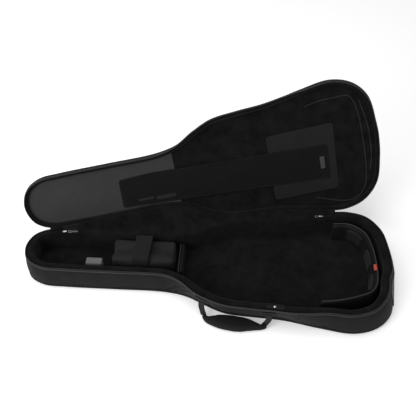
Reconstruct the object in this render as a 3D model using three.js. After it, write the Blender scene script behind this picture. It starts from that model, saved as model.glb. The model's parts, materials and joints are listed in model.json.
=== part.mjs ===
// A padded gig bag for an electric guitar, lying open on its back: a foam-walled base, and a shallow
// zip-on lid that hinges along the straight line that touches the head and the lower bout.
// Millimetres. +X runs from the head to the tail, +Y towards the hinge side, +Z up. The origin is on
// the floor, on the bag's long axis, 565 mm from the tip of the head.
import * as THREE from 'three';

// ---- Driving dimensions -------------------------------------------------------------------------
// Half of the floor outline, from the head's tip to the tail: place along the length, half width.
const HALF_OUTLINE = [
  [-565, 0], [-548, 50], [-505, 76], [-440, 81], [-300, 82], [-150, 84], [-85, 98], [-30, 127],
  [25, 151], [100, 160], [190, 167], [290, 188], [385, 201], [450, 180], [492, 133], [508, 55],
  [511, 0],
];
const STATIONS = 100;          // points round the outline
const BACK_THICK = 14;         // padded back panel
const LINING = 2;              // plush lining
const FIT = 0.3;               // gap that touching pieces keep
const RIM_Z = 78;              // top of the base's foam wall
const WALL_NEAR = 26;          // foam wall on the handle side and at both ends
const WALL_HINGE = 18;         // foam wall on the hinge side
const RIM_CHAMFER = 6;
const SHOULDER_BOW = 30;       // the open rim bows out along the waist
const CORNER_TUCK = 9;         // and is drawn in at the near tail corner
const TAIL_TUCK = 9;           // and a little all along the tail
const LID_SHARE = 0.27;        // how much of that the lid's own edge follows
const PIPING_R = 1.6;
const TAPE_HIGH = 5.6;         // half of the zip
const HINGE_Y = 149.2;         // the hinge line crosses x = 0 here
const HINGE_SLOPE = 0.1454;
const HINGE_Z = RIM_Z + FIT + TAPE_HIGH + FIT;
const LID_OPEN = 112.7;        // degrees that the lid stands open
const GUSSET_LOW = HINGE_Z + FIT + TAPE_HIGH + FIT;
const LID_LINING_LOW = 101.5;
const PANEL_LOW = 104.3;       // lid panel's inner face
const PANEL_HIGH = 116;
const GUSSET_THICK = 10;
const INNER_FLOOR = BACK_THICK + 3 + FIT;   // where loose fittings stand

const COLOURS = {
  shell: 0x2b2b2d, plush: 0x141316, smooth: 0x2e2e31, web: 0x18171a, piping: 0x232325,
  tape: 0x1b1b1d, pad: 0x3b3b3e, tab: 0x6d6d72, guard: 0x0f0f11, metal: 0xb9babd, tag: 0xa8322c,
};

// ---- Small helpers ------------------------------------------------------------------------------
const clamp01 = (t) => Math.min(Math.max(t, 0), 1);

// A smooth 0 to 1 step of t between a and b.
function step(a, b, t) {
  const s = clamp01((t - a) / (b - a));
  return s * s * (3 - 2 * s);
}

function pieceMesh(name, geometry, colour, roughness = 0.9, metalness = 0) {
  const material = new THREE.MeshStandardMaterial({ color: colour, roughness, metalness });
  const mesh = new THREE.Mesh(geometry, material);
  mesh.name = name;
  return mesh;
}

// Six times the signed volume of a triangle list: negative when its faces point inwards.
function signedVolume(points, index) {
  let total = 0;
  for (let i = 0; i < index.length; i += 3) {
    const [a, b, c] = [points[index[i]], points[index[i + 1]], points[index[i + 2]]];
    total += a.dot(new THREE.Vector3().crossVectors(b, c));
  }
  return total;
}

function solid(points, index) {
  const turned = signedVolume(points, index) < 0;
  const order = turned ? index.slice().reverse() : index;
  const geometry = new THREE.BufferGeometry().setFromPoints(points);
  geometry.setIndex(order);
  geometry.computeVertexNormals();
  return geometry;
}

// Side faces between loops of equal length; ring also joins the last loop to the first. Each face is
// cut from its lower corner on one loop to its upper corner on the next, so that two faces that lie
// along each other bend the same way.
function sideFaces(loops, ring) {
  const size = loops[0].length;
  const index = [];
  for (let k = 0; k < (ring ? loops.length : loops.length - 1); k += 1) {
    const next = (k + 1) % loops.length;
    for (let j = 0; j < size; j += 1) {
      const j2 = (j + 1) % size;
      const [a, b, c, d] = [k * size + j, k * size + j2, next * size + j, next * size + j2];
      const rising = loops[k][j2].z >= loops[k][j].z;
      index.push(...(rising ? [a, b, d, a, d, c] : [a, b, c, b, d, c]));
    }
  }
  return index;
}

// A plate: loops of points stacked upwards, closed by flat faces below and above.
function plate(stack) {
  const inPlan = (loop) => loop.map((p) => new THREE.Vector2(p.x, p.y));
  const clockwise = THREE.ShapeUtils.isClockWise(inPlan(stack[0]));
  const loops = clockwise ? stack.map((loop) => loop.slice().reverse()) : stack;
  const size = loops[0].length;
  const index = sideFaces(loops, false);
  const last = (loops.length - 1) * size;
  const flat = inPlan(loops[0]);
  const flatTop = inPlan(loops[loops.length - 1]);
  for (const [a, b, c] of THREE.ShapeUtils.triangulateShape(flat, [])) index.push(a, c, b);
  for (const [a, b, c] of THREE.ShapeUtils.triangulateShape(flatTop, [])) {
    index.push(last + a, last + b, last + c);
  }
  return solid(loops.flat(), index);
}

// A band: convex sections carried along a path, joined into a ring or closed by its end sections.
function band(sections, ring = false) {
  const size = sections[0].length;
  const index = sideFaces(sections, ring);
  if (!ring) {
    const last = (sections.length - 1) * size;
    for (let j = 1; j < size - 1; j += 1) {
      index.push(0, j + 1, j);
      index.push(last, last + j, last + j + 1);
    }
  }
  return solid(sections.flat(), index);
}

// ---- The outline and the places along it --------------------------------------------------------
// A closed curve through the half outline and its mirror image, with each point's outward normal.
function outlineStations() {
  const near = HALF_OUTLINE.map(([x, half]) => new THREE.Vector3(x, -half, 0));
  const far = HALF_OUTLINE.slice(1, -1).reverse().map(([x, half]) => new THREE.Vector3(x, half, 0));
  const curve = new THREE.CatmullRomCurve3([...near, ...far], true, 'centripetal');
  return Array.from({ length: STATIONS }, (_, i) => {
    const p = curve.getPointAt(i / STATIONS);
    const t = curve.getTangentAt(i / STATIONS);
    return { x: p.x, y: p.y, nx: t.y, ny: -t.x };
  });
}
const outline = outlineStations();

// The hinge side: 1 along the sewn hinge, 0 round the head, the handle side and the tail.
const hingeSide = (s) => step(10, 60, s.y) * (1 - step(250, 350, s.x));
const wallThick = (s) => WALL_NEAR - (WALL_NEAR - WALL_HINGE) * hingeSide(s);

// How far the open rim stands outside the floor outline.
function rimLean(s) {
  const near = step(20, 70, -s.y);
  const bow = SHOULDER_BOW * step(-160, -30, s.x) * (1 - step(190, 345, s.x));
  const corner = CORNER_TUCK * step(340, 450, s.x);
  return near * (bow - corner) - TAIL_TUCK * step(430, 500, s.x);
}

// A point on the base at a station, an offset outwards from the outline, and a height.
function basePoint(s, offset, z) {
  const out = offset + rimLean(s) * clamp01((z - BACK_THICK) / (RIM_Z - BACK_THICK));
  return new THREE.Vector3(s.x + s.nx * out, s.y + s.ny * out, z);
}

// The same on the closed lid, whose edge follows only part of the rim's lean.
function lidPoint(s, offset, z) {
  const fade = 1 - clamp01((z - GUSSET_LOW) / (PANEL_LOW - GUSSET_LOW));
  const out = offset + rimLean(s) * LID_SHARE * fade;
  return new THREE.Vector3(s.x + s.nx * out, s.y + s.ny * out, z);
}

// A section's corners, given as [offset, height] pairs, at one station.
const baseSection = (s, pairs) => pairs.map(([offset, z]) => basePoint(s, offset, z));
const lidSection = (s, pairs) => pairs.map(([offset, z]) => lidPoint(s, offset, z));

// Six corners of a cord's round section.
function roundPairs(offset, z, radius) {
  return Array.from({ length: 6 }, (_, i) => {
    const a = (i * Math.PI) / 3;
    return [offset + radius * Math.cos(a), z + radius * Math.sin(a)];
  });
}

// The station on the near (-1) or far (+1) side at a place along the length, interpolated.
function stationAt(x, side) {
  const count = outline.length;
  for (let i = 0; i < count; i += 1) {
    const a = outline[i];
    const b = outline[(i + 1) % count];
    if (side * (a.y + b.y) > 0 && (a.x - x) * (b.x - x) <= 0 && a.x !== b.x) {
      const t = (x - a.x) / (b.x - a.x);
      const mix = (p, q) => p + (q - p) * t;
      return { x, y: mix(a.y, b.y), nx: mix(a.nx, b.nx), ny: mix(a.ny, b.ny) };
    }
  }
  throw new Error(`no station at x = ${x}`);
}

const stationsBetween = (x0, x1, side, steps) => Array.from(
  { length: steps + 1 },
  (_, i) => stationAt(x0 + ((x1 - x0) * i) / steps, side),
);

// The stretch that the zip runs round: from the head end of the hinge, past the handle side, to the
// tail end of the hinge.
const ZIP_HEAD_X = -420;
const ZIP_TAIL_X = 286;
function zipStations() {
  const headFar = stationAt(ZIP_HEAD_X, 1);
  const tailFar = stationAt(ZIP_TAIL_X, 1);
  const aheadOfHinge = outline.filter((s) => s.y > 0 && s.x < ZIP_HEAD_X);
  const nearAndTail = outline.filter((s) => s.y <= 0 || s.x > ZIP_TAIL_X);
  return [headFar, ...aheadOfHinge, ...nearAndTail, tailFar];
}

// ---- Base ---------------------------------------------------------------------------------------
function backPanel() {
  const loop = (offset, z) => outline.map((s) => basePoint(s, offset, z));
  return plate([loop(-9, 0), loop(-2.5, 3), loop(0, 9), loop(0, BACK_THICK)]);
}

// The foam in the wall is cut in strips, three on each side (-1 the handle side, 1 the hinge side):
// round the head, along the waist and round the bout. They meet at the head's tip, at the two ends of
// the waist and at the middle of the tail.
const WALL_SEAM = FIT / 2;
const WALL_STRIPS = [['head', -Infinity, -190], ['waist', -190, 190], ['bout', 190, Infinity]];
function tipStation(side, tail) {
  const tip = outline.find((s) => Math.abs(s.y) < 1e-6 && (s.x > 0) === tail);
  return { ...tip, y: side * WALL_SEAM };
}

function baseWall(side, x0, x1) {
  const low = BACK_THICK + FIT;
  const start = Number.isFinite(x0) ? stationAt(x0 + WALL_SEAM, side) : tipStation(side, false);
  const end = Number.isFinite(x1) ? stationAt(x1 - WALL_SEAM, side) : tipStation(side, true);
  const along = outline.filter((s) => side * s.y > WALL_SEAM && s.x > x0 + 1 && s.x < x1 - 1);
  const round = side < 0 ? [start, ...along, end] : [end, ...along, start];
  return band(round.map((s) => {
    const t = wallThick(s);
    return baseSection(s, [
      [0, low], [0, RIM_Z - RIM_CHAMFER], [-RIM_CHAMFER, RIM_Z], [5 - t, RIM_Z], [-t, RIM_Z - 5],
      [-t, low],
    ]);
  }));
}

function floorLining() {
  const loop = (z) => outline.map((s) => basePoint(s, -wallThick(s) - FIT, z));
  return plate([loop(BACK_THICK + FIT), loop(BACK_THICK + 3)]);
}

function wallLining() {
  const high = RIM_Z - RIM_CHAMFER;
  return band(outline.map((s) => {
    const outer = -wallThick(s) - FIT;
    const inner = outer - LINING;
    return baseSection(s, [[outer, INNER_FLOOR], [outer, high], [inner, high], [inner, INNER_FLOOR]]);
  }), true);
}

function rimPiping() {
  const pairs = roundPairs(-PIPING_R, RIM_Z - PIPING_R, PIPING_R);
  return band(outline.map((s) => baseSection(s, pairs)), true);
}

function baseTape() {
  const low = RIM_Z + FIT;
  const pairs = [[-3, low], [-1, low], [-1, low + TAPE_HIGH], [-3, low + TAPE_HIGH]];
  return band(zipStations().map((s) => baseSection(s, pairs)));
}

// A sewn patch that follows the wall between two places on the near side.
function wallPatch(x0, x1, pairsAt, steps = 3) {
  return band(stationsBetween(x0, x1, -1, steps).map((s) => baseSection(s, pairsAt(s))));
}

// A strip over the tail's outside, where the bag is stood down.
function tailSkid() {
  const half = 107;
  const tail = outline.filter((s) => s.x > 0 && Math.abs(s.y) < half);
  return band(tail.map((s) => baseSection(s, [[FIT, 15], [3.3, 19], [3.3, 66], [FIT, 70]])));
}

// ---- Fittings inside the base -------------------------------------------------------------------
// Turns a shape drawn in the Y-Z plane into a solid from x0 to x1.
function alongX(shape, x0, x1) {
  const geometry = new THREE.ExtrudeGeometry(shape, {
    depth: x1 - x0, bevelEnabled: false, curveSegments: 8,
  });
  const turn = new THREE.Matrix4().makeBasis(
    new THREE.Vector3(0, 1, 0), new THREE.Vector3(0, 0, 1), new THREE.Vector3(1, 0, 0),
  );
  geometry.applyMatrix4(turn);
  geometry.translate(x0, 0, 0);
  return geometry;
}

// The neck's rest: a foam block with a round saddle between two horns.
const NECK_Y = 15;
const BLOCK = { x0: -312, x1: -124, y0: -30, y1: 58, top: 78, saddleR: 24, saddleZ: 62 };
function neckBlock() {
  const { y0, y1, top, saddleR, saddleZ } = BLOCK;
  const soft = 7;
  const shape = new THREE.Shape();
  shape.moveTo(y0, INNER_FLOOR);
  shape.lineTo(y1, INNER_FLOOR);
  shape.lineTo(y1, top - soft);
  shape.quadraticCurveTo(y1, top, y1 - soft, top);
  shape.lineTo(NECK_Y + saddleR, top);
  shape.quadraticCurveTo(NECK_Y + saddleR, saddleZ, NECK_Y, saddleZ);
  shape.quadraticCurveTo(NECK_Y - saddleR, saddleZ, NECK_Y - saddleR, top);
  shape.lineTo(y0 + soft, top);
  shape.quadraticCurveTo(y0, top, y0, top - soft);
  return alongX(shape, BLOCK.x0, BLOCK.x1);
}

// The strap that holds the neck down: a band over the saddle, hanging down the block's near face.
const STRAP = { x0: -243, x1: -195, thick: 2.4, hingeY: 59.9, hingeZ: 80, sewn: 38 };
function neckStrap() {
  const path = new THREE.CatmullRomCurve3([
    [STRAP.hingeY, STRAP.hingeZ], [60.5, 88], [53, 93.5], [40, 92.5], [20, 92], [-4, 92],
    [-20, 89], [-30.5, 81], [-32.4, 72], [-32.4, 54],
  ].map(([y, z]) => new THREE.Vector3(0, y, z)), false, 'centripetal');
  const steps = 22;
  const sections = Array.from({ length: steps + 1 }, (_, i) => {
    const p = path.getPointAt(i / steps);
    const t = path.getTangentAt(i / steps);
    const out = new THREE.Vector3(0, t.z, -t.y).multiplyScalar(STRAP.thick / 2);
    return [[STRAP.x0, 1], [STRAP.x1, 1], [STRAP.x1, -1], [STRAP.x0, -1]]
      .map(([x, side]) => new THREE.Vector3(x, p.y + side * out.y, p.z + side * out.z));
  });
  return band(sections);
}

// The end of the strap that stays sewn behind the block.
function strapAnchor() {
  const high = STRAP.hingeZ - 3;
  const half = STRAP.thick / 2;
  return boxBetween(
    [STRAP.x0, STRAP.hingeY - half, high - STRAP.sewn], [STRAP.x1, STRAP.hingeY + half, high],
  );
}

function boxBetween([x0, y0, z0], [x1, y1, z1]) {
  const geometry = new THREE.BoxGeometry(x1 - x0, y1 - y0, z1 - z0);
  geometry.translate((x0 + x1) / 2, (y0 + y1) / 2, (z0 + z1) / 2);
  return geometry;
}

const HEADSTOCK_PAD = [[-388, -24, INNER_FLOOR], [-340, 4, 48]];
const NECK_DIVIDER = [[-114, -52, INNER_FLOOR], [-98, 64, 60]];

// The tail bumper's top edge, from the hinge side round the tail to the handle side.
const BUMPER_PATH = [
  [340, 158], [385, 160], [415, 147], [440, 120], [454, 72], [460, 15], [460, -38], [454, -78],
  [437, -107], [405, -124], [370, -137], [330, -147], [290, -152],
];
const BUMPER_TOP = 73;
const bumperCurve = new THREE.CatmullRomCurve3(
  BUMPER_PATH.map(([x, y]) => new THREE.Vector3(x, y, 0)), false, 'centripetal',
);

// A band along part of the bumper, from fraction u0 to u1 of its length.
function bumperBand(u0, u1, pairs, steps) {
  return band(Array.from({ length: steps + 1 }, (_, i) => {
    const u = u0 + ((u1 - u0) * i) / steps;
    const p = bumperCurve.getPointAt(u);
    const t = bumperCurve.getTangentAt(u);
    return pairs.map(([offset, z]) => new THREE.Vector3(p.x - t.y * offset, p.y + t.x * offset, z));
  }));
}

const BUMPER_PAIRS = [
  [0, INNER_FLOOR], [0, BUMPER_TOP - 3], [-4, BUMPER_TOP], [-12, BUMPER_TOP - 3], [-20, INNER_FLOOR],
];
const PAD_PAIRS = [[-13.4, 64], [-19.2, 26], [-25, 27], [-19, 63]];
const TAG_PAIRS = [[-6.6, 72.7], [-12.4, 70.6], [-12.9, 71.8], [-7.1, 73.9]];

// The smooth patch sewn over the handle-side rim, at the handle's tail end, and the rivet through it.
const PATCH = { x0: 140, x1: 192, outer: -8, inner: -20.5, thick: 1.4 };
const RIVET = { x: 164, offset: -15, radius: 4, high: 2.4 };
const PATCH_LOW = RIM_Z + FIT;
const PATCH_HIGH = PATCH_LOW + PATCH.thick;
function backingPatch() {
  return wallPatch(PATCH.x0, PATCH.x1, () => [
    [PATCH.outer, PATCH_LOW], [PATCH.outer, PATCH_HIGH], [PATCH.inner, PATCH_HIGH],
    [PATCH.inner, PATCH_LOW],
  ]);
}

function backingRivet() {
  const geometry = new THREE.CylinderGeometry(RIVET.radius, RIVET.radius, RIVET.high, 16);
  const rivet = pieceMesh('backing_rivet', geometry, COLOURS.metal, 0.3, 1);
  const z = PATCH_HIGH + FIT + RIVET.high / 2;
  rivet.position.copy(basePoint(stationAt(RIVET.x, -1), RIVET.offset, z));
  rivet.rotation.x = Math.PI / 2;
  return rivet;
}

// ---- Carry handle -------------------------------------------------------------------------------
// The handle hangs from two sewn anchors on the near wall and lies out over the floor.
const HANDLE = { leftX: -27, rightX: 150, z: 50, webWide: 17, webThick: 2.4 };
const handleLeft = basePoint(stationAt(HANDLE.leftX, -1), 10, HANDLE.z);
const handleRight = basePoint(stationAt(HANDLE.rightX, -1), 7, HANDLE.z);
const handleAxis = handleRight.clone().sub(handleLeft).setZ(0).normalize();

// A patch sewn on the wall behind one of the handle's straps.
const ANCHOR_PAIRS = [[0.9, 34], [2.9, 34], [2.9, 66], [0.9, 66]];
const ANCHOR_HALF = 17;
const handleAnchor = (x) => wallPatch(x - ANCHOR_HALF, x + ANCHOR_HALF, () => ANCHOR_PAIRS, 2);

// Flat webbing along a path, as wide as the handle's straps and laid along the hinge axis.
function webbing(points) {
  const path = new THREE.CatmullRomCurve3(points, false, 'centripetal');
  const steps = 10;
  return band(Array.from({ length: steps + 1 }, (_, i) => {
    const p = path.getPointAt(i / steps);
    const t = path.getTangentAt(i / steps);
    const thin = new THREE.Vector3().crossVectors(handleAxis, t).normalize();
    return [[-1, -1], [1, -1], [1, 1], [-1, 1]].map(([a, b]) => p.clone()
      .addScaledVector(handleAxis, (a * HANDLE.webWide) / 2)
      .addScaledVector(thin, (b * HANDLE.webThick) / 2));
  }));
}

// The padded grip: a lens in plan, with its straight edge towards the bag.
const GRIP_OUTLINE = [
  [-45, -169], [-20, -168], [14, -159], [60, -161.5], [98, -169.5], [130, -190.5], [157, -196],
  [148, -203], [98, -211], [65, -216], [30, -211], [0, -201], [-32, -184],
];
const GRIP_LOW = 1.5;
const GRIP_HIGH = 20;
function handleGrip() {
  const curve = new THREE.CatmullRomCurve3(
    GRIP_OUTLINE.map(([x, y]) => new THREE.Vector3(x, y, 0)), true, 'centripetal',
  );
  const points = Array.from({ length: 40 }, (_, i) => curve.getPointAt(i / 40));
  const middle = new THREE.Vector3(55, -187, 0);
  const loop = (scale, z) => points.map((p) => p.clone().sub(middle).multiplyScalar(scale)
    .add(middle).setZ(z));
  return plate([loop(0.86, GRIP_LOW), loop(1, 6), loop(1, 14), loop(0.84, GRIP_HIGH)]);
}

// ---- Zip sliders --------------------------------------------------------------------------------
// A slider and its pull, drawn along +X with the pull's pin at the origin of the pair.
const SLIDER = { long: 15, wide: 8, high: 5.2 };
const PULL = { long: 30, wide: 8, thick: 1.5, pin: 2.2, lift: 1 };   // pin: from slider to its axis
function sliderBody() {
  const shape = new THREE.Shape();
  const half = SLIDER.wide / 2;
  shape.moveTo(0, -half * 0.7);
  shape.lineTo(SLIDER.long * 0.3, -half);
  shape.lineTo(SLIDER.long, -half);
  shape.lineTo(SLIDER.long, half);
  shape.lineTo(SLIDER.long * 0.3, half);
  shape.lineTo(0, half * 0.7);
  const bevel = 0.8;
  const geometry = new THREE.ExtrudeGeometry(shape, {
    depth: SLIDER.high - 2 * bevel, bevelThickness: bevel, bevelSize: bevel, bevelOffset: -bevel,
    bevelSegments: 1,
  });
  geometry.translate(0, 0, bevel);
  return geometry;
}

function sliderPull() {
  const half = PULL.wide / 2;
  const shape = new THREE.Shape();
  const nose = -PULL.pin + 1.3;
  shape.moveTo(-PULL.long, -half + 2);
  shape.quadraticCurveTo(-PULL.long, -half, -PULL.long + 2, -half);
  shape.lineTo(nose, -half);
  shape.lineTo(nose, half);
  shape.lineTo(-PULL.long + 2, half);
  shape.quadraticCurveTo(-PULL.long, half, -PULL.long, half - 2);
  const geometry = new THREE.ExtrudeGeometry(shape, {
    depth: PULL.thick, bevelEnabled: false, curveSegments: 4,
  });
  geometry.translate(0, 0, PULL.lift);
  return geometry;
}

// Places a slider and its pull; the pair's +X is the way that the slider runs when it closes.
function zipSlider(name, at, turn) {
  const group = new THREE.Group();
  group.add(pieceMesh(`${name}_slider`, sliderBody(), COLOURS.metal, 0.35, 1));
  group.add(pieceMesh(`${name}_pull`, sliderPull(), COLOURS.tab, 0.8));
  group.position.copy(at);
  group.rotation.z = turn;
  return group;
}

// ---- Lid, drawn closed --------------------------------------------------------------------------
function lidPanel() {
  const loop = (offset, z) => outline.map((s) => lidPoint(s, offset, z));
  return plate([loop(0, PANEL_LOW), loop(0, 108), loop(-4, 113.5), loop(-11, PANEL_HIGH)]);
}

function lidGusset() {
  const high = PANEL_LOW - FIT;
  return band(outline.map((s) => lidSection(s, [
    [0, GUSSET_LOW + RIM_CHAMFER], [0, high], [-GUSSET_THICK, high], [-GUSSET_THICK, GUSSET_LOW + 3],
    [3 - GUSSET_THICK, GUSSET_LOW], [-RIM_CHAMFER, GUSSET_LOW],
  ])), true);
}

function lidLining() {
  const loop = (z) => outline.map((s) => lidPoint(s, -GUSSET_THICK - FIT, z));
  return plate([loop(LID_LINING_LOW), loop(PANEL_LOW - FIT)]);
}

function lidPiping() {
  const pairs = roundPairs(-PIPING_R, GUSSET_LOW + PIPING_R, PIPING_R);
  return band(outline.map((s) => lidSection(s, pairs)), true);
}

function lidTape() {
  const low = HINGE_Z + FIT;
  const pairs = [[-3, low], [-1, low], [-1, low + TAPE_HIGH], [-3, low + TAPE_HIGH]];
  return band(zipStations().map((s) => lidSection(s, pairs)));
}

// A flat piece of the lid, from its corners in plan and its two heights.
function flatPiece(corners, low, high) {
  const loop = (z) => corners.map(([x, y]) => new THREE.Vector3(x, y, z));
  return plate([loop(low), loop(high)]);
}

// The smooth panel that lines the lid over the head and neck, cut square across at its tail end.
const SCUFF_END_X = -105;
function scuffPanel() {
  const round = outline.filter((s) => s.x < SCUFF_END_X - 8);
  const near = stationAt(SCUFF_END_X, -1);
  const far = stationAt(SCUFF_END_X, 1);
  const nearHalf = round.filter((s) => s.y <= 0);
  const farHalf = round.filter((s) => s.y > 0);
  const corners = [...nearHalf, near, far, ...farHalf].map((s) => {
    const p = lidPoint(s, -GUSSET_THICK - 1.5, LID_LINING_LOW);
    return [Math.min(p.x, SCUFF_END_X), p.y];
  });
  return flatPiece(corners, LID_LINING_LOW - 1, LID_LINING_LOW - FIT);
}

const STRING_GUARD = [[-277, -26], [-180, -31], [353, -13], [353, 94], [-280, 62]];
const BRIDGE_GUARD = [[175, -70], [378, -76], [374, 131], [177, 133]];
const LABEL = [[326, 22], [340, 22], [340, 60], [326, 60]];
const FITTING_LOW = 97.9;      // inner faces of the small pieces that lie on the guards
const HOOK_STRIPS = [
  ['guard_hook_strip_head', [[-232, 43], [-184, 43], [-184, 51], [-232, 51]]],
  ['guard_hook_strip_tail', [[-176, 45], [-118, 45], [-118, 56], [-176, 56]]],
];
const GUARD_LOW = 98.6;
const GUARD_HIGH = 99.9;

// The flat pocket sewn on the lid's outside over the lower bout.
const POCKET_OUTLINE = [
  [96, -92], [96, 92], [120, 118], [200, 124], [290, 143], [370, 158], [425, 140], [455, 95],
  [464, 30], [464, -30], [455, -95], [425, -140], [370, -158], [290, -143], [200, -124], [120, -118],
];
const POCKET_HIGH = 124;
function pocketPanel() {
  const curve = new THREE.CatmullRomCurve3(
    POCKET_OUTLINE.map(([x, y]) => new THREE.Vector3(x, -y, 0)), true, 'centripetal',
  );
  const count = 56;
  const middle = new THREE.Vector3(280, 0, 0);
  const loop = (scale, z) => Array.from({ length: count }, (_, i) => curve.getPointAt(i / count)
    .sub(middle).multiplyScalar(scale).add(middle).setZ(z));
  return plate([loop(1, PANEL_HIGH + FIT), loop(0.99, 121), loop(0.96, POCKET_HIGH)]);
}

// ---- The fabric that joins base and lid along the hinge -----------------------------------------
const hingePoint = new THREE.Vector3(0, HINGE_Y, HINGE_Z);
const hingeAxis = new THREE.Vector3(1, HINGE_SLOPE, 0).normalize();
const lidTurn = new THREE.Quaternion()
  .setFromAxisAngle(hingeAxis, -THREE.MathUtils.degToRad(LID_OPEN));
const opened = (p) => p.sub(hingePoint).applyQuaternion(lidTurn).add(hingePoint);

// At rest it runs from the top of the base's wall up to the lid's open edge.
function hingeGusset() {
  const gap = 0.6;
  const sections = stationsBetween(-416, 284, 1, 30).map((s) => [
    basePoint(s, -6, RIM_Z + gap), basePoint(s, -3.4, RIM_Z + gap),
    opened(lidPoint(s, -3.4, GUSSET_LOW - gap)), opened(lidPoint(s, -6, GUSSET_LOW - gap)),
  ]);
  return band(sections);
}

// ---- Assembly -----------------------------------------------------------------------------------
function baseGroup() {
  const base = new THREE.Group();
  const add = (...args) => base.add(pieceMesh(...args));
  add('back_panel', backPanel(), COLOURS.shell);
  for (const [place, x0, x1] of WALL_STRIPS) {
    add(`base_wall_handle_side_${place}`, baseWall(-1, x0, x1), COLOURS.shell);
    add(`base_wall_hinge_side_${place}`, baseWall(1, x0, x1), COLOURS.shell);
  }
  add('floor_lining', floorLining(), COLOURS.plush, 1);
  add('wall_lining', wallLining(), COLOURS.plush, 1);
  add('rim_piping', rimPiping(), COLOURS.piping, 0.6);
  add('base_zip_tape', baseTape(), COLOURS.tape, 0.8);
  add('hinge_gusset', hingeGusset(), COLOURS.web, 1);
  add('tail_skid', tailSkid(), COLOURS.smooth, 0.7);
  add('neck_block', neckBlock(), COLOURS.pad);
  add('strap_anchor', strapAnchor(), COLOURS.smooth);
  add('headstock_pad', boxBetween(...HEADSTOCK_PAD), COLOURS.tab);
  add('neck_divider', boxBetween(...NECK_DIVIDER), COLOURS.smooth);
  add('tail_bumper', bumperBand(0, 1, BUMPER_PAIRS, 30), COLOURS.smooth);
  const piping = roundPairs(-4, BUMPER_TOP + 2.3, 1.8);
  add('bumper_piping', bumperBand(0, 1, piping, 30), COLOURS.piping, 0.6);
  add('tail_pad_hinge_side', bumperBand(0.33, 0.45, PAD_PAIRS, 5), COLOURS.pad);
  add('tail_pad_handle_side', bumperBand(0.525, 0.66, PAD_PAIRS, 5), COLOURS.pad);
  add('corner_strip', bumperBand(0.1, 0.24, PAD_PAIRS, 5), COLOURS.smooth);
  add('red_tag', bumperBand(0.475, 0.52, TAG_PAIRS, 2), COLOURS.tag, 0.7);
  add('handle_backing_patch', backingPatch(), COLOURS.smooth, 0.7);
  base.add(backingRivet());
  add('handle_anchor_head', handleAnchor(HANDLE.leftX), COLOURS.shell);
  add('handle_anchor_tail', handleAnchor(HANDLE.rightX), COLOURS.shell);
  return base;
}

function handleGroup() {
  const handle = new THREE.Group();
  const drop = (top, end) => [
    top, top.clone().add(new THREE.Vector3(0, -1.5, -16)),
    top.clone().lerp(end, 0.75).add(new THREE.Vector3(0, -1, -3)), end,
  ];
  const leftEnd = new THREE.Vector3(-32, -163.5, 10);
  const rightEnd = new THREE.Vector3(138, -188, 10);
  handle.add(pieceMesh('handle_strap_head', webbing(drop(handleLeft, leftEnd)), COLOURS.tape));
  handle.add(pieceMesh('handle_strap_tail', webbing(drop(handleRight, rightEnd)), COLOURS.tape));
  handle.add(pieceMesh('handle_grip', handleGrip(), COLOURS.shell));
  return handle;
}

// The two main sliders lie on top of the hinge-side wall, just past each end of the hinge.
function mainSliders() {
  const z = RIM_Z + FIT;
  const headAt = basePoint(stationAt(-455, 1), -10.6, z);
  const tailAt = basePoint(stationAt(296, 1), -12, z);
  return [
    zipSlider('zip_head', headAt, Math.PI + 0.077),
    zipSlider('zip_tail', tailAt, 0.17),
  ];
}

function lidGroup() {
  const lid = new THREE.Group();
  const add = (...args) => lid.add(pieceMesh(...args));
  add('lid_panel', lidPanel(), COLOURS.shell);
  add('lid_gusset', lidGusset(), COLOURS.shell);
  add('lid_lining', lidLining(), COLOURS.plush, 1);
  add('lid_piping', lidPiping(), COLOURS.piping, 0.6);
  add('lid_zip_tape', lidTape(), COLOURS.tape, 0.8);
  add('scuff_panel', scuffPanel(), COLOURS.smooth, 0.7);
  add('bridge_guard', flatPiece(BRIDGE_GUARD, GUARD_HIGH + FIT, LID_LINING_LOW - FIT),
    COLOURS.smooth, 0.7);
  add('string_guard', flatPiece(STRING_GUARD, GUARD_LOW, GUARD_HIGH), COLOURS.guard, 0.8);
  add('blank_label', flatPiece(LABEL, FITTING_LOW, GUARD_LOW - FIT), COLOURS.tab, 0.7);
  for (const [name, corners] of HOOK_STRIPS) {
    add(name, flatPiece(corners, FITTING_LOW, GUARD_LOW - FIT), COLOURS.smooth, 0.9);
  }
  add('lid_pocket', pocketPanel(), COLOURS.shell);
  add('pocket_zip_tape', boxBetween([112, -86, POCKET_HIGH + FIT], [124, 86, 125.3]), COLOURS.tape);
  lid.add(zipSlider('pocket', new THREE.Vector3(118, 76, 125.6), -Math.PI / 2));

  const open = new THREE.Group();
  open.position.copy(hingePoint);
  open.quaternion.copy(lidTurn);
  lid.position.copy(hingePoint).negate();
  open.add(lid);
  return open;
}

function neckStrapMesh() {
  return pieceMesh('neck_strap', neckStrap(), COLOURS.smooth, 0.85);
}

const gigBag = new THREE.Group();
gigBag.add(baseGroup(), lidGroup(), handleGroup(), neckStrapMesh(), ...mainSliders());
export default gigBag;
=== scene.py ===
# %% [markdown]
# # A padded gig bag, lying open on its back
# The bag is a foam-walled base with a shallow lid that folds back on a strip of lining fabric. The
# hard facts (sizes, hinges, what each part rides on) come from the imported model; this script makes
# the cloth, foam, piping, zips and stitches around it. Lengths are in millimetres, as a bag maker
# measures them, and they become metres only when a mesh is made.

import json
import math

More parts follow.
